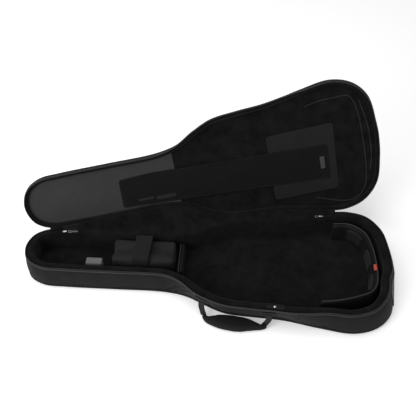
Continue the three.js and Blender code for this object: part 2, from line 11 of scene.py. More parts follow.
import bmesh
import bpy
import numpy as np
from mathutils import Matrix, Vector


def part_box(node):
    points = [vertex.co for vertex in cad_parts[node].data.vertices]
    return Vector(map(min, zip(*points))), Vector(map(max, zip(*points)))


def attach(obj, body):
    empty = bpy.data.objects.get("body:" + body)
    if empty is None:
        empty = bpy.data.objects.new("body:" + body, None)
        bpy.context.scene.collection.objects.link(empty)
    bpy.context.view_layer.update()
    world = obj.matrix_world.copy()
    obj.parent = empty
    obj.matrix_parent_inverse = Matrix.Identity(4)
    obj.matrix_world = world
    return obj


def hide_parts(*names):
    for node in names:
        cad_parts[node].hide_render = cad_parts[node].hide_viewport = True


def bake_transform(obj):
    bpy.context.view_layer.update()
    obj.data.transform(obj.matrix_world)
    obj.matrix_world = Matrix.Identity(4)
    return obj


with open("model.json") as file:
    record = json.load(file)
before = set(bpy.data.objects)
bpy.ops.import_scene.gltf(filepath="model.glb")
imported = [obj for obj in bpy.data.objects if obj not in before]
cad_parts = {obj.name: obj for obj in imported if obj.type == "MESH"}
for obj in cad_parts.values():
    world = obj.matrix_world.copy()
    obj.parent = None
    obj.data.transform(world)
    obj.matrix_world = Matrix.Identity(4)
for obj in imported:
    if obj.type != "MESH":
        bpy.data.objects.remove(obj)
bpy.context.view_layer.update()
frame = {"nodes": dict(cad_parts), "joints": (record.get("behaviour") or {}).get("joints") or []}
joints = {j["name"]: j for j in frame["joints"]}
MM = 0.001
print("nodes:", len(frame["nodes"]), "joints:", len(joints))

# %% [markdown]
# ## Camera, floor and light
# The camera looks down at the bag from its handle side, at 44 degrees, so that both the tray and the
# leaning lid are seen face on. A black bag shows its shape only by soft reflections, so the light is
# one wide overhead panel, a smaller and stronger one at the front left and a pale surround, on a
# plain pale floor.

# %% Camera
AIM = Vector((-0.0455, 0.2778, 0.0))
TURN = math.radians(3.34)
RISE = math.radians(44.13)
AWAY = 2.369

def place_camera():
    """The camera stands AWAY from the aim point, TURN round it and RISE above the floor."""
    back = Vector((math.sin(TURN) * math.cos(RISE), -math.cos(TURN) * math.cos(RISE), math.sin(RISE)))
    data = bpy.data.cameras.new("camera")
    data.lens = 63.07
    data.sensor_width = 36.0
    camera = bpy.data.objects.new("camera", data)
    camera.location = AIM + back * AWAY
    camera.rotation_euler = (-back).to_track_quat("-Z", "Y").to_euler()
    bpy.context.scene.collection.objects.link(camera)
    bpy.context.scene.camera = camera
    return camera

camera = place_camera()
print("camera at", [round(v, 3) for v in camera.location])

# %% Floor and light
FLOOR_DROP = -0.0004
FLOOR_GLOW = 0.35

def area_light(name, place, aim, size, power):
    """A square soft box of the given size, at a place, turned towards its aim point."""
    data = bpy.data.lights.new(name, "AREA")
    data.shape = "SQUARE"
    data.size = size
    data.energy = power
    light = bpy.data.objects.new(name, data)
    light.location = place
    light.rotation_euler = (Vector(aim) - Vector(place)).to_track_quat("-Z", "Y").to_euler()
    bpy.context.scene.collection.objects.link(light)

def pale_floor():
    """A wide flat square just under the bag."""
    half = 9.0
    mesh = bpy.data.meshes.new("floor")
    corners = [(-half, -half, FLOOR_DROP), (half, -half, FLOOR_DROP), (half, half, FLOOR_DROP),
               (-half, half, FLOOR_DROP)]
    mesh.from_pydata(corners, [], [(0, 1, 2, 3)])
    floor = bpy.data.objects.new("floor", mesh)
    bpy.context.scene.collection.objects.link(floor)
    material = bpy.data.materials.new("pale_floor")
    material.use_nodes = True
    shader = material.node_tree.nodes["Principled BSDF"]
    shader.inputs["Base Color"].default_value = (0.93, 0.93, 0.93, 1)
    shader.inputs["Roughness"].default_value = 0.9
    shader.inputs["Specular IOR Level"].default_value = 0.1
    shader.inputs["Emission Color"].default_value = (1.0, 1.0, 1.0, 1)
    shader.inputs["Emission Strength"].default_value = FLOOR_GLOW
    mesh.materials.append(material)

def pale_surround(strength):
    """An even pale sky."""
    world = bpy.data.worlds.new("surround")
    world.use_nodes = True
    sky = world.node_tree.nodes["Background"]
    sky.inputs["Color"].default_value = (1.0, 1.0, 1.0, 1)
    sky.inputs["Strength"].default_value = strength
    bpy.context.scene.world = world

pale_floor()
pale_surround(0.42)
area_light("soft_box_above", (-0.5, 0.0, 2.6), (0, 0.1, 0), 2.2, 30)
area_light("soft_box_front", (-1.7, -1.9, 1.3), (0, 0.0, 0.1), 1.5, 40)
bpy.context.scene.view_settings.view_transform = "Standard"

# %% [markdown]
# ## Arithmetic of cloth
# Nearly every piece of a bag is one of two things: a profile carried along a seam line, or a flat
# panel inside a seam line. Both are worked out here as whole arrays of points. A closed outline needs
# only a few given points, because a smooth curve runs through them.

# %% Curves and steps
def step(a, b, t):
    """0 before a, 1 after b, and 3s^2 - 2s^3 between, where s is the share of the way."""
    s = np.clip((np.asarray(t, float) - a) / (b - a), 0, 1)
    return s * s * (3 - 2 * s)

def smooth_line(points, closed=False, per_span=24):
    """A centripetal Catmull-Rom curve: each span is the cubic whose end slopes come from the spans
    beside it, each weighted by the square root of its length."""
    p = np.asarray(points, float)
    if closed:
        p = np.vstack([p[-1:], p, p[:2]])
    else:
        p = np.vstack([2 * p[:1] - p[1:2], p, 2 * p[-1:] - p[-2:-1]])
    d = np.maximum(np.linalg.norm(np.diff(p, axis=0), axis=1), 1e-9)[:, None] ** 0.5
    p0, p1, p2, p3 = p[:-3], p[1:-2], p[2:-1], p[3:]
    d0, d1, d2 = d[:-2], d[1:-1], d[2:]
    m1 = ((p1 - p0) / d0 - (p2 - p0) / (d0 + d1) + (p2 - p1) / d1) * d1
    m2 = ((p2 - p1) / d1 - (p3 - p1) / (d1 + d2) + (p3 - p2) / d2) * d1
    t = np.linspace(0, 1, per_span, endpoint=False)[None, :, None]
    p1, p2, m1, m2 = (v[:, None, :] for v in (p1, p2, m1, m2))
    line = p1 + m1 * t + (3 * (p2 - p1) - 2 * m1 - m2) * t**2 + (2 * (p1 - p2) + m1 + m2) * t**3
    line = line.reshape(-1, p.shape[1])
    return line if closed else np.vstack([line, p[-2:-1]])

def unit(vectors):
    """Each vector divided by its own length."""
    return vectors / np.maximum(np.linalg.norm(vectors, axis=-1, keepdims=True), 1e-9)

def run_of(line):
    """The distance along a line to each of its points."""
    return np.concatenate([[0], np.cumsum(np.linalg.norm(np.diff(line, axis=0), axis=1))])

def read_off(at, run, rows):
    """Every column of rows, known at run, read off at other places by straight interpolation."""
    return np.stack([np.interp(at, run, rows[:, k]) for k in range(rows.shape[1])], axis=1)

def evenly(line, count, closed=False):
    """count points at equal distances along a line."""
    line = np.vstack([line, line[:1]]) if closed else line
    run = run_of(line)
    return read_off(np.linspace(0, run[-1], count, endpoint=not closed), run, line)

def at_height(line, z):
    """A flat line's points at a height, or each at its own."""
    return np.column_stack([line, np.broadcast_to(z, len(line))])

def inset(loop, by):
    """A closed loop moved inwards by a distance. Its area's sign tells which side is inside."""
    t = unit(np.roll(loop, -1, 0) - np.roll(loop, 1, 0))
    area = np.sum(loop[:, 0] * np.roll(loop[:, 1], -1) - loop[:, 1] * np.roll(loop[:, 0], -1))
    return loop + np.column_stack([-t[:, 1], t[:, 0]]) * np.sign(area) * by

def spine_of(rim):
    """The line midway between a long loop's two sides, point for point."""
    return (rim + rim[(-np.arange(len(rim))) % len(rim)]) / 2

def rounded(corners, radii, gap=5.0, arc=5):
    """A closed section: straight sides with a point about every gap, and each corner replaced by a
    quadratic curve that starts and ends its radius away from it."""
    c = np.asarray(corners, float)
    loop = []
    for k in range(len(c)):
        before, here, after = c[k - 1], c[k], c[(k + 1) % len(c)]
        r = radii[k] if np.ndim(radii) else radii
        a = here + (before - here) * min(0.49, r / np.linalg.norm(before - here))
        b = here + (after - here) * min(0.49, r / np.linalg.norm(after - here))
        t = np.linspace(0, 1, arc)[:, None]
        loop.append((1 - t) ** 2 * a + 2 * t * (1 - t) * here + t**2 * b)
        start_next = c[(k + 1) % len(c)]
        r_next = radii[(k + 1) % len(c)] if np.ndim(radii) else radii
        end = start_next + (here - start_next) * min(0.49, r_next / np.linalg.norm(start_next - here))
        sides = max(1, int(np.linalg.norm(end - b) // gap))
        loop.append(b + (end - b) * np.linspace(0, 1, sides + 1)[1:-1, None])
    return np.vstack(loop)

def ripple(points, depth, size, seed):
    """Soft unevenness: the mean of eight sine waves of random direction and phase, each about size
    long, times depth. The same point always gives the same height."""
    rng = np.random.default_rng(seed)
    ways = rng.normal(size=(8, 3))
    ways *= (2 * np.pi / size) * rng.uniform(0.6, 1.5, (8, 1)) / np.linalg.norm(ways, axis=1)[:, None]
    phase = rng.uniform(0, 2 * np.pi, 8)
    return depth * np.sin(points @ ways.T + phase).mean(axis=-1) * 2.2

def flat_ripples(x, y, *waves):
    """The sum of ripples over a flat panel, each given as (depth, size, seed)."""
    flat = np.stack([x, y, np.zeros_like(x)], axis=-1)
    return sum(ripple(flat, *wave) for wave in waves)

def facing(grid, ring_u, ring_v):
    """Unit normals of a grid of points: the cross product of the steps along its two directions."""
    def along(axis, ring):
        if ring:
            return np.roll(grid, -1, axis) - np.roll(grid, 1, axis)
        return np.gradient(grid, axis=axis)
    return unit(np.cross(along(0, ring_u), along(1, ring_v)))

print("helpers ready; a unit circle's length:",
      round(float(np.linalg.norm(np.diff(smooth_line([[1, 0], [0, 1], [-1, 0], [0, -1]], True),
                                         axis=0), axis=1).sum()), 2))

# %% Meshes from grids
def flipped_if_inside_out(verts, faces):
    """Faces turned to point outwards, judged by the sign of the volume that they enclose."""
    total = 0.0
    for size in {len(f) for f in faces}:
        f = np.array([g for g in faces if len(g) == size])
        for k in range(1, size - 1):
            a, b, c = verts[f[:, 0]], verts[f[:, k]], verts[f[:, k + 1]]
            total += float(np.einsum("ij,ij->i", a, np.cross(b, c)).sum())
    return total < 0

def new_piece(name, verts, faces, uvs=None, merge=0.02):
    """A mesh object from points in millimetres. uvs holds one (u, v) in metres for each face corner.
    Points closer than merge are made one, which closes seams and poles."""
    verts = np.asarray(verts, float)
    faces = [tuple(f) for f in faces]
    turned = flipped_if_inside_out(verts, faces)
    mesh = bpy.data.meshes.new(name)
    mesh.from_pydata((verts * MM).tolist(), [], faces)
    if uvs is not None:
        layer = mesh.uv_layers.new(name="cloth")
        layer.data.foreach_set("uv", np.asarray(uvs, np.float32).ravel())
    if turned:
        mesh.flip_normals()
    mesh.polygons.foreach_set("use_smooth", np.ones(len(mesh.polygons), bool))
    work = bmesh.new()
    work.from_mesh(mesh)
    bmesh.ops.remove_doubles(work, verts=work.verts, dist=merge * MM)
    bmesh.ops.dissolve_degenerate(work, edges=work.edges, dist=merge * MM * 0.5)
    work.to_mesh(mesh)
    work.free()
    piece = bpy.data.objects.new(name, mesh)
    bpy.context.scene.collection.objects.link(piece)
    return piece

def grid_faces(nu, nv, ring_u, ring_v, start=0):
    """Four-cornered faces between neighbouring points of an nu by nv grid, with wrapping rings."""
    u, v = np.meshgrid(np.arange(nu if ring_u else nu - 1), np.arange(nv if ring_v else nv - 1),
                       indexing="ij")
    u2, v2 = (u + 1) % nu, (v + 1) % nv
    return start + np.stack([u * nv + v, u2 * nv + v, u2 * nv + v2, u * nv + v2], -1).reshape(-1, 4)

def grid_uvs(grid, ring_u, ring_v):
    """Face corners' places on the cloth, in metres: distance along and distance across."""
    def run(line, ring):
        return run_of(np.vstack([line, line[:1]]) if ring else line) * MM
    su = run(grid.mean(axis=1), ring_u)
    sv = run(grid[grid.shape[0] // 2], ring_v)
    u, v = np.meshgrid(np.arange(len(su) - 1), np.arange(len(sv) - 1), indexing="ij")
    return np.stack([np.stack([su[u], sv[v]], -1), np.stack([su[u + 1], sv[v]], -1),
                     np.stack([su[u + 1], sv[v + 1]], -1), np.stack([su[u], sv[v + 1]], -1)],
                    -2).reshape(-1, 2)

def carried(name, sections, ring=False):
    """A closed section carried along a path: sections is stations by section points by 3. A ring
    joins its last section to its first; an open one is shut by a flat face at each end."""
    nu, nv = sections.shape[:2]
    faces = grid_faces(nu, nv, ring, True).tolist()
    uvs = grid_uvs(sections, ring, True)
    if not ring:
        faces += [list(range(nv))[::-1], list(range((nu - 1) * nv, nu * nv))]
        uvs = np.vstack([uvs, np.zeros((2 * nv, 2))])
    return new_piece(name, sections.reshape(-1, 3), faces, uvs)

def stacked(name, rings, closed_top=True):
    """A panel from rings of points, the first one its underside's edge. The last ring has shrunk to
    a line or a point, or is shut by a flat face. Its cloth coordinates are its plan."""
    k, n = rings.shape[:2]
    verts = rings.reshape(-1, 3)
    faces = grid_faces(k, n, False, True).tolist() + [list(range(n))[::-1]]
    if closed_top:
        faces.append(list(range((k - 1) * n, k * n)))
    corner = np.concatenate([np.asarray(f) for f in faces])
    return new_piece(name, verts, faces, verts[corner][:, :2] * MM)

def dress(piece, body, material, replaces=()):
    """Gives a piece its finish, puts it on the body that it rides on and hides the plain solids it
    stands for.
    """
    piece.data.materials.clear()
    piece.data.materials.append(material)
    if body:
        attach(piece, body)
    if replaces:
        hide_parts(*replaces)
    print(f"{piece.name}: {len(piece.data.polygons)} faces on {body or 'two bodies'}")
    return piece

# %% [markdown]
# ## The bag's outline and its open rim
# The base was cut to a waisted outline. Its rim is stiffened only by foam, so on the open bag it bows
# out along the waist and is drawn in at the tail. Every wall, tape, piping and lining follows the
# same two functions, one for the base and one for the lid as it lies when shut.

# %% Outline and places on it
HALF_OUTLINE = [
    (-565, 0), (-548, 50), (-505, 76), (-440, 81), (-300, 82), (-150, 84), (-85, 98), (-30, 127),
    (25, 151), (100, 160), (190, 167), (290, 188), (385, 201), (450, 180), (492, 133), (508, 55),
    (511, 0)]
STATIONS = 720
BACK, RIM = 14.0, 78.0
WALL_NEAR, WALL_HINGE = 26.0, 18.0
BOW, CORNER_TUCK, TAIL_TUCK, LID_SHARE = 30.0, 9.0, 9.0, 0.27
HINGE = np.array([0, 149.2, 84.2])
HINGE_WAY = np.array([1, 0.1454, 0]) / np.linalg.norm([1, 0.1454, 0])
LID_OPEN = math.radians(112.7)
LID_EDGE, LID_TOP = 90.4, 116.0
ZIP_HEAD, ZIP_TAIL = -420.0, 286.0

def outline(count=STATIONS):
    """Places round the outline with outward normals, from the head's tip along the handle side to the
    tail and back along the hinge side: rows of x, y, nx, ny."""
    half = np.array(HALF_OUTLINE, float)
    loop = np.vstack([half * [1, -1], half[1:-1][::-1]])
    p = evenly(smooth_line(loop, closed=True), count, closed=True)
    t = unit(np.roll(p, -1, 0) - np.roll(p, 1, 0))
    return np.column_stack([p, t[:, 1], -t[:, 0]])

def hinge_side(s):
    """1 along the sewn hinge, 0 elsewhere."""
    return step(10, 60, s[:, 1]) * (1 - step(250, 350, s[:, 0]))

def wall_thick(s):
    return WALL_NEAR - (WALL_NEAR - WALL_HINGE) * hinge_side(s)

def rim_lean(s):
    """How far the open rim stands outside the floor's outline."""
    near = step(20, 70, -s[:, 1])
    bow = BOW * step(-160, -30, s[:, 0]) * (1 - step(190, 345, s[:, 0]))
    return near * (bow - CORNER_TUCK * step(340, 450, s[:, 0])) - TAIL_TUCK * step(430, 500, s[:, 0])

def placed(s, out, z):
    """Points at a distance out from the outline and a height, for stations by section points."""
    xy = s[:, None, :2] + s[:, None, 2:] * out[..., None]
    return np.concatenate([xy, np.broadcast_to(z, out.shape)[..., None]], axis=-1)

def on_base(s, pairs):
    """Section points on the base: pairs is (offset, height) rows, the same for every station or one
    set each. The rim's lean grows evenly from the floor up."""
    pairs = np.broadcast_to(pairs, (len(s),) + np.shape(pairs)[-2:])
    lean = rim_lean(s)[:, None] * np.clip((pairs[..., 1] - BACK) / (RIM - BACK), 0, None)
    return placed(s, pairs[..., 0] + lean, pairs[..., 1])

def on_lid(s, pairs):
    """Section points on the shut lid, whose edge follows a share of the rim's lean."""
    pairs = np.broadcast_to(pairs, (len(s),) + np.shape(pairs)[-2:])
    fade = 1 - np.clip((pairs[..., 1] - LID_EDGE) / 13.9, 0, 1)
    return placed(s, pairs[..., 0] + rim_lean(s)[:, None] * LID_SHARE * fade, pairs[..., 1])

def opened(points):
    """Points of the shut lid turned back about the hinge (Rodrigues' formula)."""
    v = np.asarray(points, float) - HINGE
    c, s = math.cos(-LID_OPEN), math.sin(-LID_OPEN)
    along = (v @ HINGE_WAY)[..., None] * HINGE_WAY
    return HINGE + v * c + np.cross(HINGE_WAY, v) * s + along * (1 - c)

def side_places(x0, x1, side, count):
    """Evenly spaced places on the handle side (-1) or the hinge side (1) from x0 to x1."""
    s = ROUND[side * ROUND[:, 1] > 0]
    s = s[np.argsort(s[:, 0])]
    x = np.linspace(x0, x1, count)
    return np.column_stack([x, read_off(x, s[:, 0], s[:, 1:])])

def zip_places():
    """The stretch that the zip runs round: from the hinge's head end past the head, along the handle
    side, round the tail and back to the hinge's tail end."""
    far = ROUND[:, 1] > 0
    head = ROUND[far & (ROUND[:, 0] < ZIP_HEAD)]
    rest = ROUND[~far | (ROUND[:, 0] > ZIP_TAIL)]
    return np.vstack([side_places(ZIP_HEAD, ZIP_HEAD + 1, 1, 2)[:1], head, rest,
                      side_places(ZIP_TAIL, ZIP_TAIL + 1, 1, 2)[:1]])

ROUND = outline()
print("outline length in mm:", round(float(np.linalg.norm(np.diff(ROUND[:, :2], axis=0), axis=1).sum())))

# %% [markdown]
# ## Finishes
# A gig bag is black on black: what tells the pieces apart is the weave and how it takes the light.
# The shell is a coarse matt nylon, the lining a short brushed pile with a faint bloom at grazing
# angles, the guards a smooth coated cloth. A weave is two crossed sets of waves that rise and fall in
# turn, laid on the cloth's own coordinates; pile is fine noise over slow brushed patches.

# %% The parts of a material
def shader_of(name):
    """A new material, its node tree's maker and its shader."""
    material = bpy.data.materials.new(name)
    material.use_nodes = True
    tree = material.node_tree
    shader = tree.nodes["Principled BSDF"]

    def node(kind, values=(), **settings):
        made = tree.nodes.new(kind)
        for key, value in settings.items():
            setattr(made, key, value)
        for key, value in values:
            if isinstance(value, bpy.types.NodeSocket):
                tree.links.new(value, made.inputs[key])
            else:
                made.inputs[key].default_value = value
        return made

    def link(out, socket):
        tree.links.new(out, shader.inputs[socket])

    return material, node, link, shader

def noise(node, place, scale, detail=3.0, rough=0.55):
    made = node("ShaderNodeTexNoise", [("Vector", place), ("Scale", scale), ("Detail", detail),
                                       ("Roughness", rough)])
    return made.outputs["Fac"]

def between(node, factor, dark, light):
    """A colour between two, by a factor."""
    ramp = node("ShaderNodeMix", [(0, factor), (6, (*dark, 1)), (7, (*light, 1))], data_type="RGBA")
    return ramp.outputs[2]

def sums(node, operation, a, b):
    return node("ShaderNodeMath", [(0, a), (1, b)], operation=operation).outputs[0]

def weave_height(node, place, pitch):
    """Crossed waves: over one thread, under the next. pitch is a thread's width in metres."""
    parts = []
    for direction in ("X", "Y"):
        wave = node("ShaderNodeTexWave", [("Vector", place), ("Scale", math.pi / (10 * 2 * pitch)),
                                          ("Distortion", 0.35), ("Detail", 1.0),
                                          ("Detail Scale", 3.0)],
                    wave_type="BANDS", bands_direction=direction)
        parts.append(sums(node, "SUBTRACT", wave.outputs["Fac"], 0.5))
    crossed = sums(node, "MULTIPLY", parts[0], parts[1])
    return sums(node, "MULTIPLY", crossed, 4.0)

def cloth(name, dark, light, pitch=0.0011, relief=0.00018, rough=0.85, sheen=0.12, bloom=0.4,
          patch=22.0, on_uv=True, specular=0.25):
    """Woven cloth: thread relief and thread colour from the weave, slow patches from noise."""
    material, node, link, shader = shader_of(name)
    source = node("ShaderNodeTexCoord")
    solid = source.outputs["Object"]
    weave = weave_height(node, source.outputs["UV"] if on_uv else solid, pitch)
    slow = noise(node, solid, patch, 4.0)
    fine = noise(node, solid, 480.0, 3.0, 0.7)
    mixed = sums(node, "ADD", sums(node, "MULTIPLY", slow, 0.6), sums(node, "MULTIPLY", weave, 0.16))
    mixed = sums(node, "ADD", mixed, sums(node, "MULTIPLY", fine, 0.42))
    link(between(node, mixed, dark, light), "Base Color")
    height = sums(node, "ADD", sums(node, "MULTIPLY", weave, 0.5), sums(node, "MULTIPLY", fine, 0.6))
    bump = node("ShaderNodeBump", [("Strength", 0.55), ("Distance", relief), ("Height", height)])
    worn = sums(node, "ADD", sums(node, "MULTIPLY", noise(node, solid, 60.0), 0.14), rough - 0.07)
    link(worn, "Roughness")
    link(bump.outputs["Normal"], "Normal")
    shader.inputs["Sheen Weight"].default_value = sheen
    shader.inputs["Sheen Roughness"].default_value = bloom
    shader.inputs["Specular IOR Level"].default_value = specular
    return material

def pile(name, dark, light, sheen=0.04):
    """Brushed plush: tufts of about a millimetre and a half, brushed one way and the other in patches
    a few centimetres across, and a faint bloom at grazing angles."""
    material, node, link, shader = shader_of(name)
    solid = node("ShaderNodeTexCoord").outputs["Object"]
    patches = noise(node, solid, 26.0, 5.0, 0.65)
    tufts = noise(node, solid, 700.0, 4.0, 0.7)
    brushed = noise(node, node("ShaderNodeMapping", [("Vector", solid), ("Scale", (90, 420, 420))])
                    .outputs[0], 1.0, 3.0, 0.6)
    mixed = sums(node, "ADD", sums(node, "MULTIPLY", patches, 0.8), sums(node, "MULTIPLY", tufts, 0.4))
    sharp = node("ShaderNodeMapRange", [("Value", mixed), ("From Min", 0.42), ("From Max", 0.78)])
    link(between(node, sharp.outputs[0], dark, light), "Base Color")
    height = sums(node, "ADD", tufts, sums(node, "MULTIPLY", brushed, 0.6))
    height = sums(node, "ADD", height, sums(node, "MULTIPLY", patches, 1.5))
    bump = node("ShaderNodeBump", [("Strength", 0.8), ("Distance", 0.0007), ("Height", height)])
    link(bump.outputs["Normal"], "Normal")
    shader.inputs["Roughness"].default_value = 1.0
    shader.inputs["Specular IOR Level"].default_value = 0.1
    shader.inputs["Sheen Weight"].default_value = sheen
    shader.inputs["Sheen Roughness"].default_value = 0.55
    shader.inputs["Sheen Tint"].default_value = (0.9, 0.88, 1.0, 1)
    return material

def metal(name, colour, rough=0.28):
    """Plated die-cast metal, with faint handling marks in its polish."""
    material, node, link, shader = shader_of(name)
    solid = node("ShaderNodeTexCoord").outputs["Object"]
    marks = noise(node, solid, 1400.0, 4.0)
    link(between(node, marks, tuple(c * 0.8 for c in colour), colour), "Base Color")
    link(sums(node, "ADD", sums(node, "MULTIPLY", marks, 0.25), rough - 0.1), "Roughness")
    bump = node("ShaderNodeBump", [("Strength", 0.15), ("Distance", 0.00005), ("Height", marks)])
    link(bump.outputs["Normal"], "Normal")
    shader.inputs["Metallic"].default_value = 1.0
    return material

def grey(level):
    """A near-black or grey with a trace of blue, as dyed nylon has."""
    return (level, level, level * 1.03)

SHELL = cloth("shell_nylon", grey(0.003), grey(0.0115), pitch=0.0009, relief=0.00022, rough=0.8,
              sheen=0.02, specular=0.17)
PLUSH = pile("plush_pile", grey(0.0010), grey(0.0080))
# The ridge pile is the lining's plush made several times lighter: a painted highlight along the tops of
# the raised seam ridges.
RIDGE_HIGHLIGHT_PILE = pile("ridge_pile_painted_highlight", grey(0.014), grey(0.030))
SMOOTH = cloth("smooth_coated_cloth", grey(0.014), grey(0.030), pitch=0.0005, relief=0.00007,
               rough=0.7, sheen=0.05, specular=0.3)
# Black cloth made darker still: its colour is partly the cloth's own black and partly painted shade, set
# to the darkness of the tail bumper in its shade. The divider shares it.
BLACK_WITH_PAINTED_SHADE = cloth("black_cloth_with_painted_shade", grey(0.0012), grey(0.0045), pitch=0.0005, relief=0.00007,
              rough=0.7, sheen=0.02, specular=0.2)
WEAR = cloth("wear_guard_cloth", grey(0.0045), grey(0.011), pitch=0.0005, relief=0.00007,
             rough=0.75, sheen=0.02, specular=0.2)
PAD = cloth("knit_pad_cover", grey(0.007), grey(0.016), pitch=0.0008, relief=0.00012, rough=0.85,
            sheen=0.03, specular=0.2)
TAB = cloth("light_knit", grey(0.10), grey(0.17), pitch=0.0008, relief=0.00012, rough=0.8)
STRAP = cloth("strap_loop_cloth", grey(0.005), grey(0.013), pitch=0.0007, relief=0.0003, rough=0.95,
              sheen=0.05)
PIPING = cloth("piping_cloth", grey(0.012), grey(0.034), pitch=0.0006, relief=0.0001, rough=0.6,
               sheen=0.03, specular=0.4)
TAPE = cloth("zip_tape", grey(0.006), grey(0.014), pitch=0.0006, relief=0.00014, rough=0.8,
             sheen=0.03)
COIL = cloth("zip_coil_nylon", grey(0.009), grey(0.024), pitch=0.0004, relief=0.00003, rough=0.45,
             specular=0.4, sheen=0.03, on_uv=False)
GUARD = cloth("string_guard_nylon", grey(0.0025), grey(0.0065), pitch=0.0005, relief=0.00006,
              rough=0.8, sheen=0.01, specular=0.12)
HOOK = cloth("hook_tape", grey(0.007), grey(0.016), pitch=0.0016, relief=0.0005, rough=0.7,
             sheen=0.03, specular=0.2)
LABEL = cloth("woven_label", grey(0.030), grey(0.060), pitch=0.0006, relief=0.0001, rough=0.7,
              sheen=0.03)
WEBBING = cloth("handle_webbing", grey(0.008), grey(0.019), pitch=0.0018, relief=0.0004, rough=0.75,
                sheen=0.05)
THREAD = cloth("seam_thread", grey(0.012), grey(0.032), pitch=0.0003, relief=0.00005, rough=0.6,
               sheen=0.03, on_uv=False)
PULL = cloth("pull_cord", grey(0.055), grey(0.11), pitch=0.0007, relief=0.0002, rough=0.7)
RED = cloth("red_tag_cloth", (0.30, 0.030, 0.022), (0.55, 0.075, 0.055), pitch=0.0007,
            relief=0.00015, rough=0.75)
NICKEL = metal("nickel_plate", (0.72, 0.72, 0.74))
print("finishes:", len(bpy.data.materials))

# %% [markdown]
# ## The base's foam wall
# On the real bag the wall is three strips of foam a side inside one long sleeve of nylon, with the
# plush lining rolled over its inner edge. One rounded section carried round the outline gives the
# sleeve. It needs small faults to look sewn: the cloth fills out between floor and rim, puckers along
# the rim's seam, and creases where the waist turns into the shoulder.

# %% Wall sleeve
WALL_CORNERS = [(-0.6, 13.6), (1.4, 26), (2.2, 46), (0.9, 66), (-2.8, 78.1), (-21, 78.2),
                (-26, 72), (-26, 15)]
WALL_RADII = [3, 8, 14, 8, 4, 4, 4, 3]
SHOULDER_CREASES = [(-150, 0.55, 2.4), (-118, 0.8, 4.2), (-92, 0.95, 3.0), (236, -0.6, 1.8)]

def thinned(s, pairs):
    """A section drawn for the thick wall, squeezed in proportion where the wall is thinner."""
    pairs = np.repeat(np.asarray(pairs, float)[None], len(s), axis=0)
    share = (wall_thick(s) / WALL_NEAR)[:, None]
    pairs[..., 0] = np.where(pairs[..., 0] < 0, pairs[..., 0] * share, pairs[..., 0])
    return pairs

def crease_depth(points):
    """Slanting folds: for each, a narrow bell curve across a line x = place + slant * (z - 45)."""
    x, z = points[..., 0], points[..., 2]
    depth = np.zeros_like(x)
    for place, slant, deep in SHOULDER_CREASES:
        across = (x - place - slant * (z - 45)) / 5.0
        depth += deep * np.exp(-across**2) * step(76, 60, z) * step(10, 24, z)
    return depth * step(20, 60, np.abs(points[..., 1]))

def wall_relief(points, way):
    """How far the sleeve stands out of its smooth section, on its outer side only."""
    z = points[..., 2]
    run = np.arange(len(points))[:, None] * 3.7
    pucker = 0.35 * np.sin(2 * np.pi * run / 15) * np.exp(-((z - 69) / 4.5) ** 2)
    relief = ripple(points, 1.1, 110, 3) + ripple(points, 0.35, 34, 4) + pucker - crease_depth(points)
    return relief * step(6, 16, z) * way

def wall_sleeve():
    section = rounded(WALL_CORNERS, WALL_RADII, gap=3.2, arc=5)
    grid = on_base(ROUND, thinned(ROUND, section))
    outer = step(-5, -0.5, section[:, 0])[None, :]
    grid = grid + np.concatenate([ROUND[:, None, 2:] * wall_relief(grid, outer)[..., None],
                                  np.zeros(grid.shape[:2] + (1,))], axis=-1)
    return carried("wall_sleeve", grid, ring=True)

WALL_NODES = sorted(n for n in frame["nodes"] if n.startswith("base_wall_"))
dress(wall_sleeve(), "base", SHELL, WALL_NODES)

# %% Wall plush and floor plush
ROLL_CORNERS = [(-26.3, 17.3), (-26.3, 73), (-21, 78.9), (-17.5, 79.2), (-17.5, 80.2), (-21.5, 80.8),
                (-28.6, 74), (-28.8, 17.3)]
ROLL_REACH = 11.5

def wall_plush():
    section = rounded(ROLL_CORNERS, [0.5, 4, 2, 0.6, 0.6, 4, 5, 0.5], gap=3.5, arc=5)
    pairs = thinned(ROUND, section)
    reach = ROLL_REACH * (1 - hinge_side(ROUND))[:, None] * step(-22, -17.5, section[:, 0])[None]
    pairs[..., 0] += reach * step(77, 79, section[:, 1])[None]
    grid = on_base(ROUND, pairs)
    inner = step(-26.6, -28.3, section[:, 0])[None, :, None]
    grid[..., :2] += ROUND[:, None, 2:] * (ripple(grid, 0.7, 70, 11)[..., None] * inner)
    return carried("wall_plush", grid, ring=True)

def panel(name, loop, low, high, edge, rings=30, relief=None, spine=False, after=None):
    """A panel inside a closed seam line. Its rim is a quarter circle from low to high; inside that,
    rings shrink to the panel's middle point, or with spine to the line midway between its two long
    sides. relief(x, y) raises the face, growing from nothing at the rim."""
    way = np.sign(high - low)
    stack = [(0.5 * edge, low), (0, low + way * min(0.4 * edge, abs(high - low) * 0.4))]
    stack += [(edge * (1 - math.cos(a)), high - way * min(edge, abs(high - low) * 0.6)
               * (1 - math.sin(a))) for a in np.linspace(0.15, math.pi / 2, 5)]
    result = [at_height(inset(loop, by), z) for by, z in stack]
    rim = inset(loop, edge)
    middle = spine_of(rim) if spine else rim.mean(axis=0)
    for share in np.linspace(1, 0, rings + 1)[1:]:
        xy = middle + (rim - middle) * share
        z = np.full(len(xy), float(high))
        if relief is not None:
            z = z + way * relief(xy[:, 0], xy[:, 1]) * step(0, 0.12, 1 - share)
        result.append(at_height(xy, z))
    result = np.stack(result)
    return stacked(name, after(result) if after else result, closed_top=False)

def soft_floor(x, y):
    return flat_ripples(x, y, (0.9, 120, 21), (0.25, 30, 22))

floor_loop = on_base(ROUND, thinned(ROUND, [(-27.2, 16.0)]))[:, 0, :2]
floor_plush = panel("floor_plush", floor_loop, 14.3, 17.0, 1.0, 28, soft_floor, spine=True)
dress(floor_plush, "base", PLUSH, ["floor_lining"])
dress(wall_plush(), "base", PLUSH, ["wall_lining"])

# %% Back panel
def back_relief(x, y):
    return np.abs(flat_ripples(x, y, (0.3, 90, 31))) * 0.3

